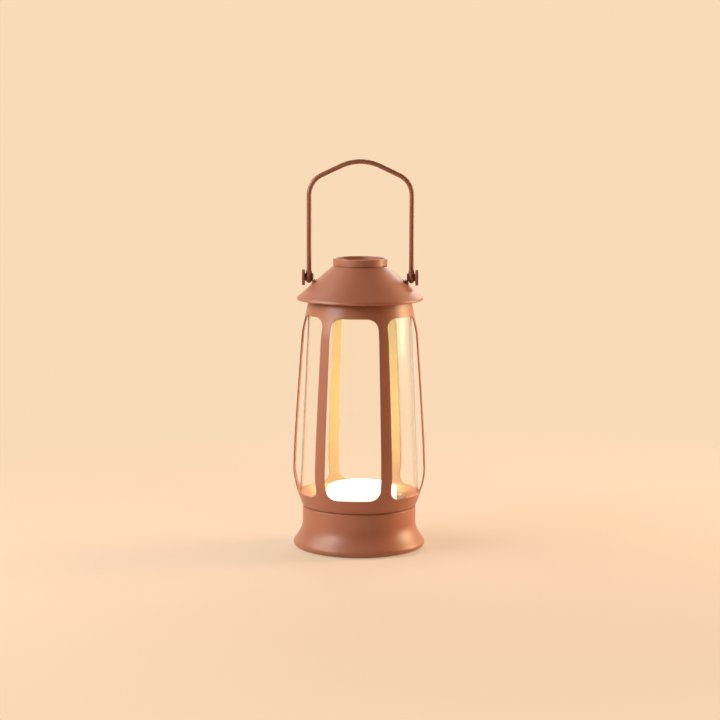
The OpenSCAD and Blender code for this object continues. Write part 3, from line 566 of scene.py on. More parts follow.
def plated_metal(name, colour, roughness):
    """Zinc plate over rolled sheet: faint streaks and a soft gloss"""
    n = Nodes(bpy.data.materials.new(name))
    shader = n.shader(colour, roughness, metallic=1.0)
    streaks = n.noise(grain_mm=0.6, detail=4, stretch=(1, 1, 0.15))
    n.link(n.between(streaks, roughness - 0.07, roughness + 0.09), shader.inputs["Roughness"])
    tone = n.tint(n.noise(grain_mm=5), shaded(colour, 0.9), shaded(colour, 1.06))
    n.link(tone, shader.inputs["Base Color"])
    n.link(n.bump(streaks, depth_mm=0.004), shader.inputs["Normal"])
    return n.owner


def moulding(name, colour, roughness, grain_mm=0.5, depth_mm=0.01):
    """Moulded plastic or rubber with a fine eroded grain"""
    n = Nodes(bpy.data.materials.new(name))
    shader = n.shader(colour, roughness)
    grain = n.noise(grain_mm)
    n.link(n.bump(grain, depth_mm), shader.inputs["Normal"])
    n.link(n.between(grain, roughness - 0.05, roughness + 0.07), shader.inputs["Roughness"])
    tone = n.tint(n.noise(grain_mm=7), shaded(colour, 0.93), shaded(colour, 1.05))
    n.link(tone, shader.inputs["Base Color"])
    return n.owner


def circuit_board(name, colour, track):
    """Lacquered board: copper tracks show through as slightly paler lines"""
    n = Nodes(bpy.data.materials.new(name))
    shader = n.shader(colour, 0.3)
    waves = n.add("ShaderNodeTexWave", wave_type="BANDS", bands_direction="DIAGONAL")
    waves.inputs["Scale"].default_value = 130
    waves.inputs["Distortion"].default_value = 9
    waves.inputs["Detail"].default_value = 1
    n.link(n.place(), waves.inputs["Vector"])
    tracks = n.between(waves.outputs["Fac"], 0, 1, start=0.72, end=0.8)
    n.link(n.tint(tracks, colour, track), shader.inputs["Base Color"])
    n.link(n.bump(tracks, depth_mm=0.02), shader.inputs["Normal"])
    n.link(n.between(n.noise(grain_mm=1.5), 0.26, 0.36), shader.inputs["Roughness"])
    return n.owner


def opal_light(name, colour, glow, strength):
    """Opal moulding that glows from inside, over a silky matt skin"""
    n = Nodes(bpy.data.materials.new(name))
    shader = n.shader(colour, 0.42, Emission_Color=(*glow, 1), Emission_Strength=strength)
    grain = n.noise(grain_mm=0.5, detail=2)
    n.link(n.between(grain, 0.38, 0.47), shader.inputs["Roughness"])
    n.link(n.bump(grain, depth_mm=0.006), shader.inputs["Normal"])
    return n.owner


def clear_sheet(name, colour, roughness):
    """Clear bent sheet that lets the lamps' light straight through"""
    n = Nodes(bpy.data.materials.new(name))
    shader = n.shader(colour, roughness, Transmission_Weight=1.0, IOR=SHEET_IOR)
    n.link(n.bump(n.noise(grain_mm=40, detail=1), depth_mm=0.05), shader.inputs["Normal"])
    through = n.coloured("ShaderNodeBsdfTransparent", shaded(colour, SHEET_SHARE))
    n.blend(n.rays("Is Shadow Ray"), shader, through)
    return n.owner


# Each slot's kind of material and what that kind takes
COATS = {
    "clay_coat": (powder_coat, linear(172, 108, 82)),
    "dark_clay_coat": (powder_coat, linear(149, 89, 63)),
    "opal": (opal_light, linear(244, 238, 226), linear(255, 248, 240), 0.72),
    "clear_sheet": (clear_sheet, (0.998, 0.994, 0.98), 0.1),
    "soft_rubber": (moulding, linear(66, 48, 40), 0.7, 0.8, 0.02),
    "black_rubber": (moulding, linear(32, 31, 31), 0.6, 0.8, 0.02),
    "bright_steel": (plated_metal, linear(206, 206, 208), 0.28),
    "zinc_steel": (plated_metal, linear(204, 200, 188), 0.36),
    "dark_moulding": (moulding, linear(46, 46, 48), 0.5),
    "pale_moulding": (moulding, linear(214, 208, 192), 0.45),
    "clear_moulding": (clear_sheet, (0.97, 0.985, 0.95), 0.12),
    "green_board": (circuit_board, linear(24, 92, 58), linear(60, 132, 78)),
    "white_board": (circuit_board, linear(238, 238, 232), linear(214, 210, 190)),
    "light_chip": (moulding, linear(250, 216, 104), 0.3),
    "cell_sleeve": (moulding, linear(52, 98, 160), 0.26, 2.5, 0.01),
    "red_wire": (moulding, linear(190, 36, 30), 0.42, 0.8, 0.008),
    "black_wire": (moulding, linear(34, 34, 36), 0.42, 0.8, 0.008),
}
coats = {slot: kind(slot, *values) for slot, (kind, *values) in COATS.items()}


def dress_cad_nodes():
    """The material of its slot on each CAD node that keeps its shape"""
    for part in frame["record"]["subparts"]:
        mesh = frame["nodes"][part["node"]].data
        mesh.materials.clear()
        mesh.materials.append(coats[part["material_slot"]])


# ---------------------------------------------------------------- heights from the frame


def box_mm(node):
    """Lowest and highest corner of a CAD node, in mm"""
    low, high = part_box(node)
    return np.array(low) / MM, np.array(high) / MM


BASE_LOW, BASE_HIGH = box_mm("base_shell")
CAGE_LOW, CAGE_HIGH = box_mm("cage")
ROOF_LOW, ROOF_HIGH = box_mm("roof")
LIGHT_LOW, LIGHT_HIGH = box_mm("light_diffuser")
PIN_LOW, PIN_HIGH = box_mm("right_pivot_pin")
COLLAR_HIGH = box_mm("collar")[1]
EAR_HIGH = box_mm("right_ear")[1]
HANDLE_HIGH = box_mm("handle")[1]

BASE_R = BASE_HIGH[0]
BASE_Z, BASE_TOP = BASE_LOW[2], BASE_HIGH[2]
CAGE_Z, CAGE_TOP = CAGE_LOW[2], CAGE_HIGH[2]
ROOF_R = ROOF_HIGH[0]
ROOF_TOP = ROOF_HIGH[2]
COLLAR_R = COLLAR_HIGH[0]
COLLAR_TOP = COLLAR_HIGH[2]
ROOF_FLAT_R = COLLAR_R + COLLAR_LAND
ROOF_FLAT_IN = ROOF_FLAT_R - ROOF_WALL * math.tan(ROOF_SLOPE / 2)
PIVOT_Z = (PIN_LOW[2] + PIN_HIGH[2]) / 2
HEM_Z = ROOF_LOW[2] + ROOF_WALL
BEND_C = np.array([ROOF_R - RIM_BEND, HEM_Z - ROOF_WALL / 4])
CONE_FOOT = BEND_C + RIM_BEND * np.array([math.sin(ROOF_SLOPE), math.cos(ROOF_SLOPE)])


def cone_z(r):
    """Height of the roof's outer cone at a radius"""
    return CONE_FOOT[1] + (CONE_FOOT[0] - r) * math.tan(ROOF_SLOPE)


# ---------------------------------------------------------------- base


def base_profile():
    """Outer profile of the base: rounded lower edge, concave flare and straight neck"""
    centre = np.array([BASE_R - BASE_EDGE, BASE_Z + BASE_EDGE])
    lean = math.radians(BASE_EDGE_TURN)
    out = np.array([math.cos(lean), math.sin(lean)])
    start = centre + BASE_EDGE * out
    flare = bezier(
        start,
        start + FLARE_PULL_LOW * np.array([-out[1], out[0]]),
        (NECK_R, FLARE_TOP - FLARE_PULL_HIGH),
        (NECK_R, FLARE_TOP),
        40,
    )
    return path(arc(centre, BASE_EDGE, -90, BASE_EDGE_TURN, 24), flare)


def pierced_neck(rows):
    """Surfaces of the neck's wall with its three holes, and the angles of its columns"""
    neck_in = NECK_R - BASE_WALL
    outer, inner = constant(NECK_R), constant(neck_in)
    # Seen from the rear, +X lies to the left, so the middles change sign
    holes = [
        (-PORT_X, SOCKET_HALF_W, SOCKET_HALF_H, 24),
        (0.0, CHARGE_HOLE_R, CHARGE_HOLE_R, 12),
        (PORT_X, BUTTON_HOLE_R, BUTTON_HOLE_R, 18),
    ]
    surfaces, pierced = [], []
    for middle, half_w, half_h, count in holes:
        reach = half_w + HOLE_MARGIN
        sides = np.arcsin(np.array([middle - reach, middle + reach]) / NECK_R)
        columns = np.linspace(*sides, count + 1)
        outline = hole_outline(
            constant(half_w),
            PORT_Z - half_h,
            PORT_Z + half_h,
            half_h,
            middle,
            np.linspace(0, 1, count + 1),
            np.linspace(0, 1, len(rows)),
        )
        surfaces.append(pierced_patch(outer, inner, BASE_WALL, outline, columns, rows, math.pi))
        pierced.append(columns)
    ring = []
    ends = [columns[0] for columns in pierced[1:]] + [pierced[0][0] + 2 * math.pi]
    for columns, end in zip(pierced, ends):
        count = max(1, round((end - columns[-1]) / PLAIN_STEP))
        plain = np.linspace(columns[-1], end, count + 1)
        ring += [columns[:-1], plain[:-1]]
        for r in (NECK_R, neck_in):
            wall = np.stack([0 * rows + r, rows], 1)
            surfaces.append(turned(wall, plain + math.pi, full=False))
    return surfaces, np.concatenate(ring) + math.pi


def make_base():
    """Base shell: the pierced neck, the flare with its turned-in foot, and the top flange"""
    rows = np.linspace(*NECK_BAND, 19)
    surfaces, ring = pierced_neck(rows)
    neck_in = NECK_R - BASE_WALL
    foot = base_profile()
    lip_r = BASE_R - BASE_LIP + LIP_SOFT
    inside = shifted(foot, BASE_WALL)
    inside = inside[inside[:, 1] > BASE_Z + BASE_WALL + LIP_CLEAR]
    inside = inside[inside[:, 1] < rows[0]]
    lower = path(
        (NECK_R, rows[0]),
        foot[::-1],
        line(foot[0], (lip_r, foot[0][1]), 3),
        arc((lip_r, BASE_Z + LIP_SOFT), LIP_SOFT, 270, 180, 4),
        arc((lip_r, BASE_Z + BASE_WALL - LIP_SOFT), LIP_SOFT, 180, 90, 4),
        inside,
        (neck_in, rows[0]),
    )
    half, soft = BASE_WALL / 2, FLANGE_SOFT
    under = BASE_TOP - BASE_WALL
    upper = path(
        (NECK_R, rows[-1]),
        arc((NECK_R - soft, BASE_TOP - soft), soft, 0, 90, 8),
        line((NECK_R - soft, BASE_TOP), (FLANGE_R + half, BASE_TOP), 6),
        arc((FLANGE_R + half, BASE_TOP - half), half, 90, 270, 10),
        line((FLANGE_R + half, under), (neck_in - soft, under), 4),
        arc((neck_in - soft, under - soft), soft, 90, 0, 6),
        (neck_in, rows[-1]),
    )
    surfaces += [turned(lower, ring), turned(upper, ring)]
    make_piece("base_casing", surfaces, "root", "clay_coat", ["base_shell"])


# ---------------------------------------------------------------- cage


def cage_profile():
    """Outer profile of the cage: lower curl, long taper, shoulder and upper band"""
    foot = np.array([CAGE_FOOT_R, CAGE_Z])
    belly = np.array([BELLY_R, CAGE_Z + BELLY_UP])
    shoulder = np.array([SHOULDER_R, CAGE_Z + SHOULDER_UP])
    end = np.array([CAGE_TOP_R, CAGE_TOP])
    band = end + (shoulder - end) * BAND_SHARE
    up, lean = np.array([0, 1]), np.array([-TAPER_LEAN, 1])
    low_pull, high_pull = SHOULDER_PULL_LOW * lean, SHOULDER_PULL_HIGH * lean
    return path(
        bezier(foot, foot + FOOT_PULL, belly - BELLY_PULL_LOW * up, belly, 40),
        bezier(belly, belly + BELLY_PULL_HIGH * up, shoulder - low_pull, shoulder, 60),
        bezier(shoulder, shoulder + high_pull, band + BAND_PULL, band, 24),
        line(band, end, 20),
    )


def pierced_barrel(outer, inner):
    """Surfaces of the barrel's wall with its windows, its end heights and its columns' angles"""
    sector = math.pi / BARS
    window = sector - BAR_ANGLE / 2
    half_corner = math.pi / 4 * WINDOW_CORNER
    up = side_shares(half_corner / WINDOW_H, 8, 56)
    across = side_shares(half_corner / WINDOW_W, 8, 16)
    low, high = CAGE_Z + WINDOW_UP, CAGE_Z + WINDOW_UP + WINDOW_H
    outline = hole_outline(
        lambda z: outer(z) * math.sin(window), low, high, WINDOW_CORNER, 0.0, across, up
    )
    rows = low - BELOW_WINDOW + (BELOW_WINDOW + high - low + ABOVE_WINDOW) * up
    columns = -sector + 2 * sector * across
    turns = [CAGE_TURN + k * 2 * sector for k in range(BARS)]
    patches = [
        pierced_patch(outer, inner, CAGE_WALL, outline, columns, rows, turn) for turn in turns
    ]
    return patches, rows[0], rows[-1], np.concatenate([turn + columns[:-1] for turn in turns])


def make_cage():
    """Barrel cage with its tall windows and its two turned-in flanges"""
    outside = cage_profile()
    outer, inner = radius_line(outside), radius_line(shifted(outside, CAGE_WALL))
    surfaces, z0, z1, ring = pierced_barrel(outer, inner)
    half, soft = CAGE_WALL / 2, CAGE_SOFT
    # How near to the sharp corners the handles of their soft curves lie
    near, near_side = 0.3 * soft, 0.4 * soft
    wall_out = outside[(outside[:, 1] > CAGE_Z + soft) & (outside[:, 1] < z0)]
    foot_out = bezier(
        (outer(CAGE_Z + soft), CAGE_Z + soft),
        (outer(CAGE_Z + near_side), CAGE_Z + near_side),
        (CAGE_FOOT_R - near, CAGE_Z),
        (CAGE_FOOT_R - soft, CAGE_Z),
        8,
    )
    floor_z = CAGE_Z + CAGE_WALL
    heights = np.linspace(floor_z + soft, z0, 12)
    lower = path(
        (outer(z0), z0),
        wall_out[::-1],
        foot_out,
        line((CAGE_FOOT_R - soft, CAGE_Z), (FLANGE_R + half, CAGE_Z), 6),
        arc((FLANGE_R + half, CAGE_Z + half), half, 270, 90, 10),
        line((FLANGE_R + half, floor_z), (inner(floor_z) - soft, floor_z), 5),
        np.stack([inner(heights), heights], 1),
    )
    roof_z = CAGE_TOP - CAGE_WALL
    heights_out = np.linspace(z1, CAGE_TOP - soft, 10)
    heights_in = np.linspace(roof_z - soft, z1, 10)
    upper = path(
        np.stack([outer(heights_out), heights_out], 1),
        bezier(
            (outer(CAGE_TOP - soft), CAGE_TOP - soft),
            (CAGE_TOP_R, CAGE_TOP - near),
            (CAGE_TOP_R - near, CAGE_TOP),
            (CAGE_TOP_R - soft, CAGE_TOP),
            8,
        ),
        line((CAGE_TOP_R - soft, CAGE_TOP), (UPPER_FLANGE_R + half, CAGE_TOP), 6),
        arc((UPPER_FLANGE_R + half, CAGE_TOP - half), half, 90, 270, 10),
        line((UPPER_FLANGE_R + half, roof_z), (inner(roof_z) - soft, roof_z), 5),
        np.stack([inner(heights_in), heights_in], 1),
    )
    surfaces += [turned(lower, ring), turned(upper, ring)]
    make_piece("cage_shell", surfaces, "root", "clay_coat", ["cage"])


# ---------------------------------------------------------------- clear chimney and light


def make_chimney():
    """Cone of clear sheet behind the windows, with polished round edges"""
    inner = radius_line(shifted(cage_profile(), CAGE_WALL))
    low_z = CAGE_Z + WINDOW_UP - CAGE_WALL
    high_z = CAGE_Z + WINDOW_UP + WINDOW_H + CLEAR_LAP
    half = CLEAR_WALL / 2
    low_r, high_r = (inner(z) - CLEAR_GAP - half for z in (low_z, high_z))
    profile = path(
        arc((low_r, low_z + half), half, -180, 0, 8),
        line((low_r + half, low_z + half), (high_r + half, high_z - half), 40),
        arc((high_r, high_z - half), half, 0, 180, 8),
        line((high_r - half, high_z - half), (low_r - half, low_z + half), 40)[:-1],
    )
    surface = turned(profile, closed=True)
    make_piece("chimney_sheet", [surface], "root", "clear_sheet", ["clear_chimney"])


def make_light():
    """Opal puck: a flat top, a softly rounded edge and a short straight side"""
    middle = (LIGHT_LOW[0] + LIGHT_HIGH[0]) / 2
    radius = (LIGHT_HIGH[0] - LIGHT_LOW[0]) / 2
    low, top = LIGHT_LOW[2], LIGHT_HIGH[2]
    edge = (radius - LIGHT_EDGE, top - LIGHT_EDGE)
    in_r, in_z = radius - LIGHT_WALL, top - LIGHT_WALL
    soft = LIGHT_FOOT_SOFT
    profile = path(
        (0, in_z),
        line((LIGHT_POLE_R, in_z), (edge[0], in_z), 8),
        arc(edge, LIGHT_EDGE - LIGHT_WALL, 90, 0, 10),
        line((in_r, edge[1]), (in_r, low), 6),
        line((in_r, low), (radius - soft, low), 2),
        arc((radius - soft, low + soft), soft, -90, 0, 4),
        line((radius, low + soft), (radius, edge[1]), 6),
        arc(edge, LIGHT_EDGE, 0, 90, 16),
        line((edge[0], top), (LIGHT_POLE_R, top), 8),
        (0, top),
    )
    grid, closed, full = turned(profile)
    surface = (grid + [middle, 0, 0], closed, full)
    make_piece("opal_puck", [surface], "root", "opal", ["light_diffuser"])


# ---------------------------------------------------------------- roof and collar


def make_roof():
    """Conical roof with a small flat on top and a rim rolled under"""
    slope = math.degrees(ROOF_SLOPE)
    drop = ROOF_WALL / math.cos(ROOF_SLOPE)
    lip = ROOF_WALL / 2
    flat_end = ROOF_FLAT_R - ROOF_BREAK * math.tan(ROOF_SLOPE / 2)
    cone_top = ROOF_FLAT_R + ROOF_BREAK
    hem_in = ROOF_R - 2 * ROOF_WALL
    under = hem_in - HEM_CORNER_R
    profile = path(
        arc((COLLAR_HOLE_R + lip, ROOF_TOP - lip), lip, 270, 90, 8),
        line((COLLAR_HOLE_R + lip, ROOF_TOP), (flat_end, ROOF_TOP), 2),
        arc((flat_end, ROOF_TOP - ROOF_BREAK), ROOF_BREAK, 90, 90 - slope, 6),
        line((cone_top, cone_z(cone_top)), CONE_FOOT, 40),
        arc(BEND_C, RIM_BEND, 90 - slope, RIM_TURN, 12),
        arc((ROOF_R - ROOF_WALL, HEM_Z), ROOF_WALL, 0, -180, 16),
        line((hem_in, HEM_Z), (hem_in, cone_z(hem_in) - drop - HEM_CORNER_H), 4),
        line((under, cone_z(under) - drop), (ROOF_FLAT_IN, ROOF_TOP - ROOF_WALL), 30),
    )
    make_piece("roof_cone", [turned(profile, closed=True)], "root", "clay_coat", ["roof"])


def make_collar():
    """Open collar: a straight ring with a round lip, a groove at its foot and a spigot below"""
    inner_r = COLLAR_R - COLLAR_WALL
    lip = COLLAR_WALL / 2
    lip_z = COLLAR_TOP - lip
    spigot = COLLAR_HOLE_R - SPIGOT_GAP
    swage = ROOF_TOP - ROOF_WALL - SEAT_GAP
    swage_r = ROOF_FLAT_IN - 2 * SEAT_GAP
    groove_r = COLLAR_R - GROOVE_DEPTH
    groove_top = ROOF_TOP + GROOVE_H
    soft = COLLAR_FOOT_SOFT
    profile = path(
        line((groove_r, ROOF_TOP), (groove_r, groove_top), 3),
        line((groove_r, groove_top), (COLLAR_R - soft, groove_top), 2),
        arc((COLLAR_R - soft, groove_top + soft), soft, -90, 0, 5),
        line((COLLAR_R, groove_top + soft), (COLLAR_R, lip_z), 8),
        arc((COLLAR_R - lip, lip_z), lip, 0, 180, 18),
        line((inner_r, lip_z), (inner_r, swage - SWAGE_H), 12),
        line((inner_r, swage - SWAGE_H), (swage_r, swage - SWAGE_H), 3),
        (swage_r, swage),
        (spigot, swage),
        (spigot, ROOF_TOP),
    )
    make_piece("collar_ring", [turned(profile, closed=True)], "root", "clay_coat", ["collar"])


# ---------------------------------------------------------------- handle and pivots


def handle_line():
    """Centreline of the bail from the right leg's foot to the left one's, as (x, z)"""
    crown_c = HANDLE_HIGH[2] - WIRE_R - CROWN_R
    sine, cosine = math.sin(HANDLE_SLOPE), math.cos(HANDLE_SLOPE)
    crown_end = np.array([CROWN_R * sine, crown_c + CROWN_R * cosine])
    bend_x = HANDLE_X - HANDLE_BEND
    end_x = bend_x + HANDLE_BEND * sine
    end_z = crown_end[1] - (end_x - crown_end[0]) * math.tan(HANDLE_SLOPE)
    bend_z = end_z - HANDLE_BEND * cosine
    foot_z = PIVOT_Z + LEG_UP
    slope = math.degrees(HANDLE_SLOPE)
    right = path(
        line((HANDLE_X, foot_z), (HANDLE_X, foot_z + LEG_FINE), 24),
        line((HANDLE_X, foot_z + LEG_FINE), (HANDLE_X, bend_z), 12),
        arc((bend_x, bend_z), HANDLE_BEND, 0, 90 - slope, 24),
        line((end_x, end_z), crown_end, 8),
        arc((0, crown_c), CROWN_R, 90 - slope, 90, 18),
    )
    return path(right, (right * np.array([-1, 1]))[::-1])


def bail_wire():
    """Round wire along the bail, with a small fillet above each eye and its ends closed"""
    middle = handle_line()
    out = normals(middle)
    above = np.maximum(middle[:, 1] - PIVOT_Z - FILLET_UP, 0)
    radius = WIRE_R + EYE_FILLET * np.exp(-above / EYE_FILLET)
    a = np.linspace(0, 2 * math.pi, 40, endpoint=False)
    aside, forth = radius[:, None] * np.cos(a), radius[:, None] * np.sin(a)
    x, z = middle[:, :1] + aside * out[:, :1], middle[:, 1:] + aside * out[:, 1:]
    wire = np.stack([x, forth, z], -1)
    ends = [0 * wire[0] + [foot_x, 0, foot_z] for foot_x, foot_z in middle[[0, -1]]]
    return np.concatenate([ends[:1], wire, ends[1:]]), False, True


def make_handle():
    """Bail of round wire with a crowned eye at each end"""
    half = EYE_W / 2
    crown = (half * half + EYE_CROWN * EYE_CROWN) / (2 * EYE_CROWN)
    spread = math.degrees(math.asin(half / crown))
    bore = PIN_R + RUN_GAP
    barrel = arc((EYE_R - crown, HANDLE_X), crown, -spread, spread, 16)[1:-1]
    eye = path(
        (bore, HANDLE_X - half),
        (barrel[0][0] - EYE_EDGE, HANDLE_X - half),
        barrel,
        (barrel[-1][0] - EYE_EDGE, HANDLE_X + half),
        (bore, HANDLE_X + half),
    )
    surfaces = [bail_wire()] + [about_pivot(eye, side, 72, closed=True) for side, _ in SIDES]
    make_piece("bail_handle", surfaces, "handle", "dark_clay_coat", ["handle"])


def make_pins():
    """Shouldered pins, each with a broad round head: soft rims and a slightly dished face"""
    head_r = (PIN_HIGH[2] - PIN_LOW[2]) / 2
    inner_x, outer_x = PIN_LOW[0], PIN_HIGH[0]
    head_in = outer_x - PIN_HEAD_T
    soft = PIN_HEAD_SOFT
    profile = path(
        (0, inner_x),
        (PIN_R - PIN_TIP, inner_x),
        line((PIN_R, inner_x + PIN_TIP), (PIN_R, head_in), 6),
        line((PIN_R, head_in), (head_r - soft, head_in), 4),
        arc((head_r - soft, head_in + soft), soft, -90, 0, 6),
        arc((head_r - soft, outer_x - soft), soft, 0, 90, 6),
        line((head_r - soft, outer_x), (DISH_R, outer_x - DISH_EDGE), 6),
        (0, outer_x - DISH_DEPTH),
    )
    for side, name in SIDES:
        surface = about_pivot(profile, side, 96)
        replaced = [name + "_pivot_pin"]
        make_piece(name + "_pin_head", [surface], "root", "dark_clay_coat", replaced)


# ---------------------------------------------------------------- ears


def rounded_plate(half_u, half_v, height, corner, soft):
    """Rings (u, v, h) of a plate with rounded corners: sole, softened edges and top.

    A ring is a rectangle of the ring's reach whose corners are arcs. Over the sole and the top
    the reach shrinks to a thousandth in the middle.
    """
    around = np.linspace(0, 2 * math.pi, 64, endpoint=False)
    turn = np.stack([np.cos(around), np.sin(around)], 1)
    half = np.array([half_u, half_v])
    smallest = 0.001
    shares = 1 - np.linspace(half_v, soft, 8)[:-1] / half_v * (1 - smallest)
    steps = [(half * share, 0.0) for share in shares]
    steps += [(half - inward, up) for inward, up in zip(*softened(soft))]
    steps += [(reach, height - h) for reach, h in steps[::-1]]
    rings = []
    for reach, h in steps:
        round_r = min(corner, *reach)
        flat = (reach - round_r) * np.sign(np.round(turn, 9)) + round_r * turn
        rings.append(np.column_stack([flat, np.full(len(flat), h)]))
    return np.array(rings)


def ear_foot():
    """Foot of the right ear: a rounded plate laid round the roof's cone.

    A plate's u runs down the cone, its v round the cone and its h out along the cone's normal.
    """
    slope_cos, slope_sin = math.cos(ROOF_SLOPE), math.sin(ROOF_SLOPE)
    middle_r = EAR_HIGH[0] - EAR_FOOT / 2 * slope_cos
    half_v = middle_r * math.asin(EAR_HIGH[1] / EAR_HIGH[0])
    plate = rounded_plate(EAR_FOOT / 2, half_v, EAR_FOOT_T, EAR_FOOT_CORNER, EAR_SOFT)
    u, v, h = np.moveaxis(plate, -1, 0)
    r = middle_r + u * slope_cos + h * slope_sin
    z = cone_z(middle_r + u * slope_cos) + SEAT_GAP + h * slope_cos
    return np.stack([r * np.cos(v / middle_r), r * np.sin(v / middle_r), z], -1)


def ear_tab():
    """Tab of the right ear: an upright plate, round above, whose sides spread at its root.

    Its rings are shares of its rim about a middle point, over one face, the softened edge and
    the other face.
    """
    root_z = cone_z(PIN_LOW[0] + EAR_WALL / 2) + SEAT_GAP
    root_z += EAR_FOOT_T / math.cos(ROOF_SLOPE) / 2
    straight = np.linspace(root_z, PIVOT_Z, 16)
    top = np.linspace(0, math.pi / 2, 24)
    spread = EAR_SPREAD * np.exp(-(straight - root_z) / EAR_SPREAD)
    half_w = np.concatenate([EAR_R + spread, EAR_R * np.cos(top)])
    height = np.concatenate([straight, PIVOT_Z + EAR_R * np.sin(top)])
    front = np.column_stack([half_w, height])
    rim = np.concatenate([front, (front * [-1, 1])[::-1]])
    middle = np.array([0, PIVOT_Z - EAR_R / 2])
    inward, deep = softened(EAR_SOFT)
    sheets = [(share, 0.0) for share in np.linspace(0, 0.9, 8)]
    sheets += list(zip(1 - inward / EAR_R, deep))
    sheets += [(share, EAR_WALL - x) for share, x in sheets[::-1]]
    return np.array(
        [
            np.column_stack([np.full(len(rim), PIN_LOW[0] + x), middle + share * (rim - middle)])
            for share, x in sheets
        ]
    )


def make_ears():
    """Pressed ears: a foot plate bent to the roof's cone, and a tab raised from it"""
    tab, foot = ear_tab(), ear_foot()
    for side, name in SIDES:
        mirror = np.array([side, 1, 1])
        replaced = [name + "_ear"]
        tab_surface, foot_surface = (tab * mirror, False, True), (foot * mirror, False, True)
        make_piece(name + "_ear_strap", [tab_surface], "root", "dark_clay_coat", replaced)
        make_piece(name + "_ear_foot", [foot_surface], "root", "clay_coat", replaced)


# ---------------------------------------------------------------- studio

# Floor: its half width, where it turns up, the turn's radius and the height of its end, in m
FLOOR_HALF = 4.0
FLOOR_BACK = 1.6
SWEEP_R = 1.2
BACK_H = 3.0
FLOOR_COLOUR = linear(250, 219, 184)

# The floor's lit surface: its share near the lamp, its colour, and where the share fades, m
LIT_SHARE = 0.5
LIT_COLOUR = linear(224, 197, 180)
SHADOW_NEAR = 0.16
SHADOW_FAR = 0.75

# Softboxes: azimuth and elevation in degrees, width and height in m, watts and colour
LIT_POINT = (0.0, 0.0, 0.15)
SOFTBOX_DISTANCE = 1.1
SOFTBOXES = (
    ("left_front_softbox", -56, 21, (0.45, 0.35), 4.9, (0.88, 0.97, 1.0)),
    ("left_high_softbox", -62, 34, (0.5, 0.45), 3.2, (1.0, 0.95, 0.93)),
    ("left_softbox", -82, 25, (0.7, 0.5), 2.8, (0.95, 1.0, 0.6)),
    ("left_rear_softbox", -98, 42, (0.6, 0.6), 5.2, (1.0, 0.84, 0.86)),
    ("right_softbox", 96, 10, (0.35, 0.5), 4.9, (1.0, 0.86, 0.58)),
    ("right_low_softbox", 108, 12, (0.35, 0.6), 8.2, (1.0, 0.66, 0.34)),
    ("right_high_softbox", 108, 42, (0.5, 0.5), 3.2, (1.0, 0.55, 0.3)),
    ("right_rear_softbox", 122, 14, (0.4, 0.6), 1.5, (1.0, 0.74, 0.54)),
    ("rear_softbox", 172, 32, (0.9, 0.7), 7.0, (0.88, 1.0, 0.9)),
)

# Inner glow: heights and radius in m, watts. Its green turns golden on the terracotta coat.
INNER_HEIGHTS = np.linspace(0.075, 0.19, 5)
INNER_RADIUS = 0.012
INNER_POWER = 0.42
INNER_COLOUR = (0.4, 1.0, 0.585)
INNER_SPREAD = math.radians(140)
INNER_BLEND = 0.35

# Surround: strength and colour of its faint light
SURROUND = 0.005
SURROUND_COLOUR = (1.0, 0.8, 0.6)


def floor_material():
    """Even pale floor: it shows its plain colour, and takes shadows near the lamp.

    For camera, glossy and transmitted rays the floor mixes its colour as a glow with its lit
    surface, and the glow's share rises with the distance from the lamp. Other rays meet the lit
    surface alone.
    """
    n = Nodes(bpy.data.materials.new("floor"))
    lit = n.coloured("ShaderNodeBsdfDiffuse", LIT_COLOUR)
    glow = n.coloured("ShaderNodeEmission", FLOOR_COLOUR)
    away = n.add("ShaderNodeVectorMath", operation="LENGTH")
    n.link(n.place(), away.inputs[0])
    share = n.between(
        away.outputs["Value"],
        1 - LIT_SHARE,
        1.0,
        SHADOW_NEAR,
        SHADOW_FAR,
        interpolation_type="SMOOTHSTEP",
    )
    seen = n.rays("Is Camera Ray", "Is Glossy Ray", "Is Transmission Ray")
    n.blend(n.math("MULTIPLY", seen, share), lit, glow)
    return n.owner


def add_stage():
    """Pale floor that sweeps up into a backdrop, as one surface carried sideways"""
    sweep = arc((FLOOR_BACK, SWEEP_R), SWEEP_R, -90, 0, 32)
    flat = line((-FLOOR_HALF, 0), (FLOOR_BACK, 0), 2)
    profile = path(flat, sweep, (FLOOR_BACK + SWEEP_R, BACK_H))
    x = np.array([-FLOOR_HALF, FLOOR_HALF])
    grid = np.stack([x + 0 * profile[:, :1], profile[:, :1] + 0 * x, profile[:, 1:] + 0 * x], -1)
    faces = grid_faces(*grid.shape[:2], False, False)
    mesh = bpy.data.meshes.new("floor")
    mesh.from_pydata(grid.reshape(-1, 3), [], faces.tolist())
    mesh.polygons.foreach_set("use_smooth", np.ones(len(mesh.polygons), bool))
    mesh.materials.append(floor_material())
    floor = bpy.data.objects.new("floor", mesh)
    bpy.context.scene.collection.objects.link(floor)


def add_lamp(name, kind, power, colour):
    """Lamp that the camera doesn't see, with its data"""
    data = bpy.data.lights.new(name, kind)
    data.energy = power
    data.color = colour
    lamp = bpy.data.objects.new(name, data)
    bpy.context.scene.collection.objects.link(lamp)
    lamp.visible_camera = False
    return lamp, data


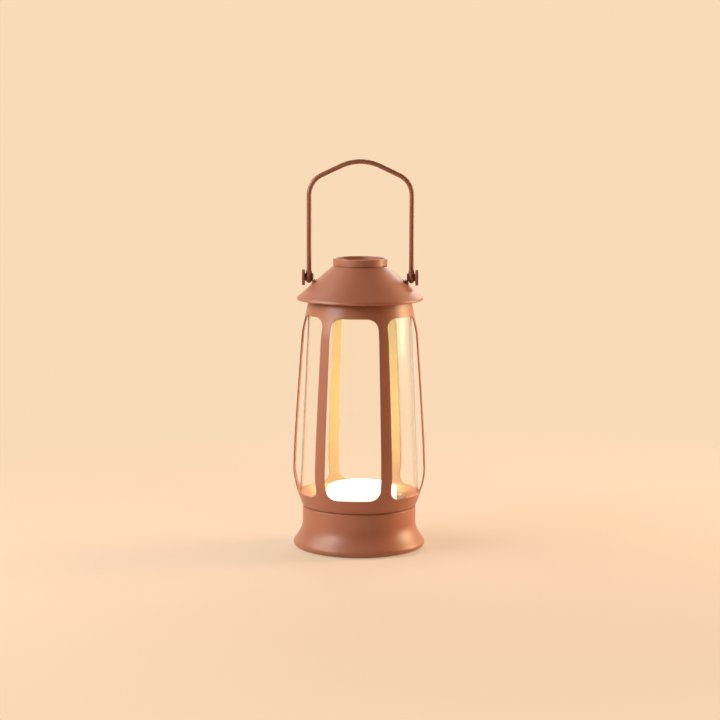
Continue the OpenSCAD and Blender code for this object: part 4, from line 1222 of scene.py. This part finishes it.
def add_softbox(name, azimuth, elevation, size, power, colour):
    """Rectangular soft lamp that faces the lantern; azimuth counts from the front towards +X"""
    lamp, data = add_lamp(name, "AREA", power, colour)
    data.shape = "RECTANGLE"
    data.size, data.size_y = size
    around, up = math.radians(azimuth), math.radians(elevation)
    back = np.array(
        [math.cos(up) * math.sin(around), -math.cos(up) * math.cos(around), math.sin(up)]
    )
    side = np.cross([0, 0, 1], back)
    side /= np.linalg.norm(side)
    facing = Matrix(np.stack([side, np.cross(back, side), back], 1).tolist())
    lamp.location = np.array(LIT_POINT) + SOFTBOX_DISTANCE * back
    lamp.rotation_mode = "QUATERNION"
    lamp.rotation_quaternion = facing.to_quaternion()


def add_inner_glow():
    """Row of small lamps up the chimney's axis: the opal light's golden glow on the rear bars"""
    cage_only = bpy.data.collections.new("lit_by_inner_glow")
    for piece in bpy.data.objects:
        if piece.name.startswith("cage"):
            cage_only.objects.link(piece)
    for k, height in enumerate(INNER_HEIGHTS):
        lamp, data = add_lamp("inner_glow_%d" % k, "SPOT", INNER_POWER, INNER_COLOUR)
        data.spot_size = INNER_SPREAD
        data.spot_blend = INNER_BLEND
        data.shadow_soft_size = INNER_RADIUS
        lamp.location = (0, 0, height)
        lamp.rotation_euler = (math.pi / 2, 0, 0)
        lamp.visible_glossy = False
        lamp.visible_transmission = False
        lamp.light_linking.receiver_collection = cage_only


def add_surround():
    """Faint warm surround; the camera, also through clear sheet, sees the floor's colour there"""
    world = bpy.data.worlds.new("surround")
    n = Nodes(world, "ShaderNodeOutputWorld")
    faint = n.coloured("ShaderNodeBackground", SURROUND_COLOUR)
    faint.inputs["Strength"].default_value = SURROUND
    seen = n.coloured("ShaderNodeBackground", FLOOR_COLOUR)
    n.blend(n.rays("Is Camera Ray", "Is Transmission Ray"), faint, seen)
    bpy.context.scene.world = world


def add_lights():
    """Softboxes, whiter at the left and warmer at the right, the inner glow and the surround"""
    for name, *values in SOFTBOXES:
        add_softbox(name, *values)
    add_inner_glow()
    add_surround()


# ---------------------------------------------------------------- all together

add_camera()
dress_cad_nodes()
make_base()
make_cage()
make_chimney()
make_light()
make_roof()
make_collar()
make_handle()
make_pins()
make_ears()
add_stage()
add_lights()
bpy.context.scene.view_settings.view_transform = "Standard"

bpy.context.view_layer.update()
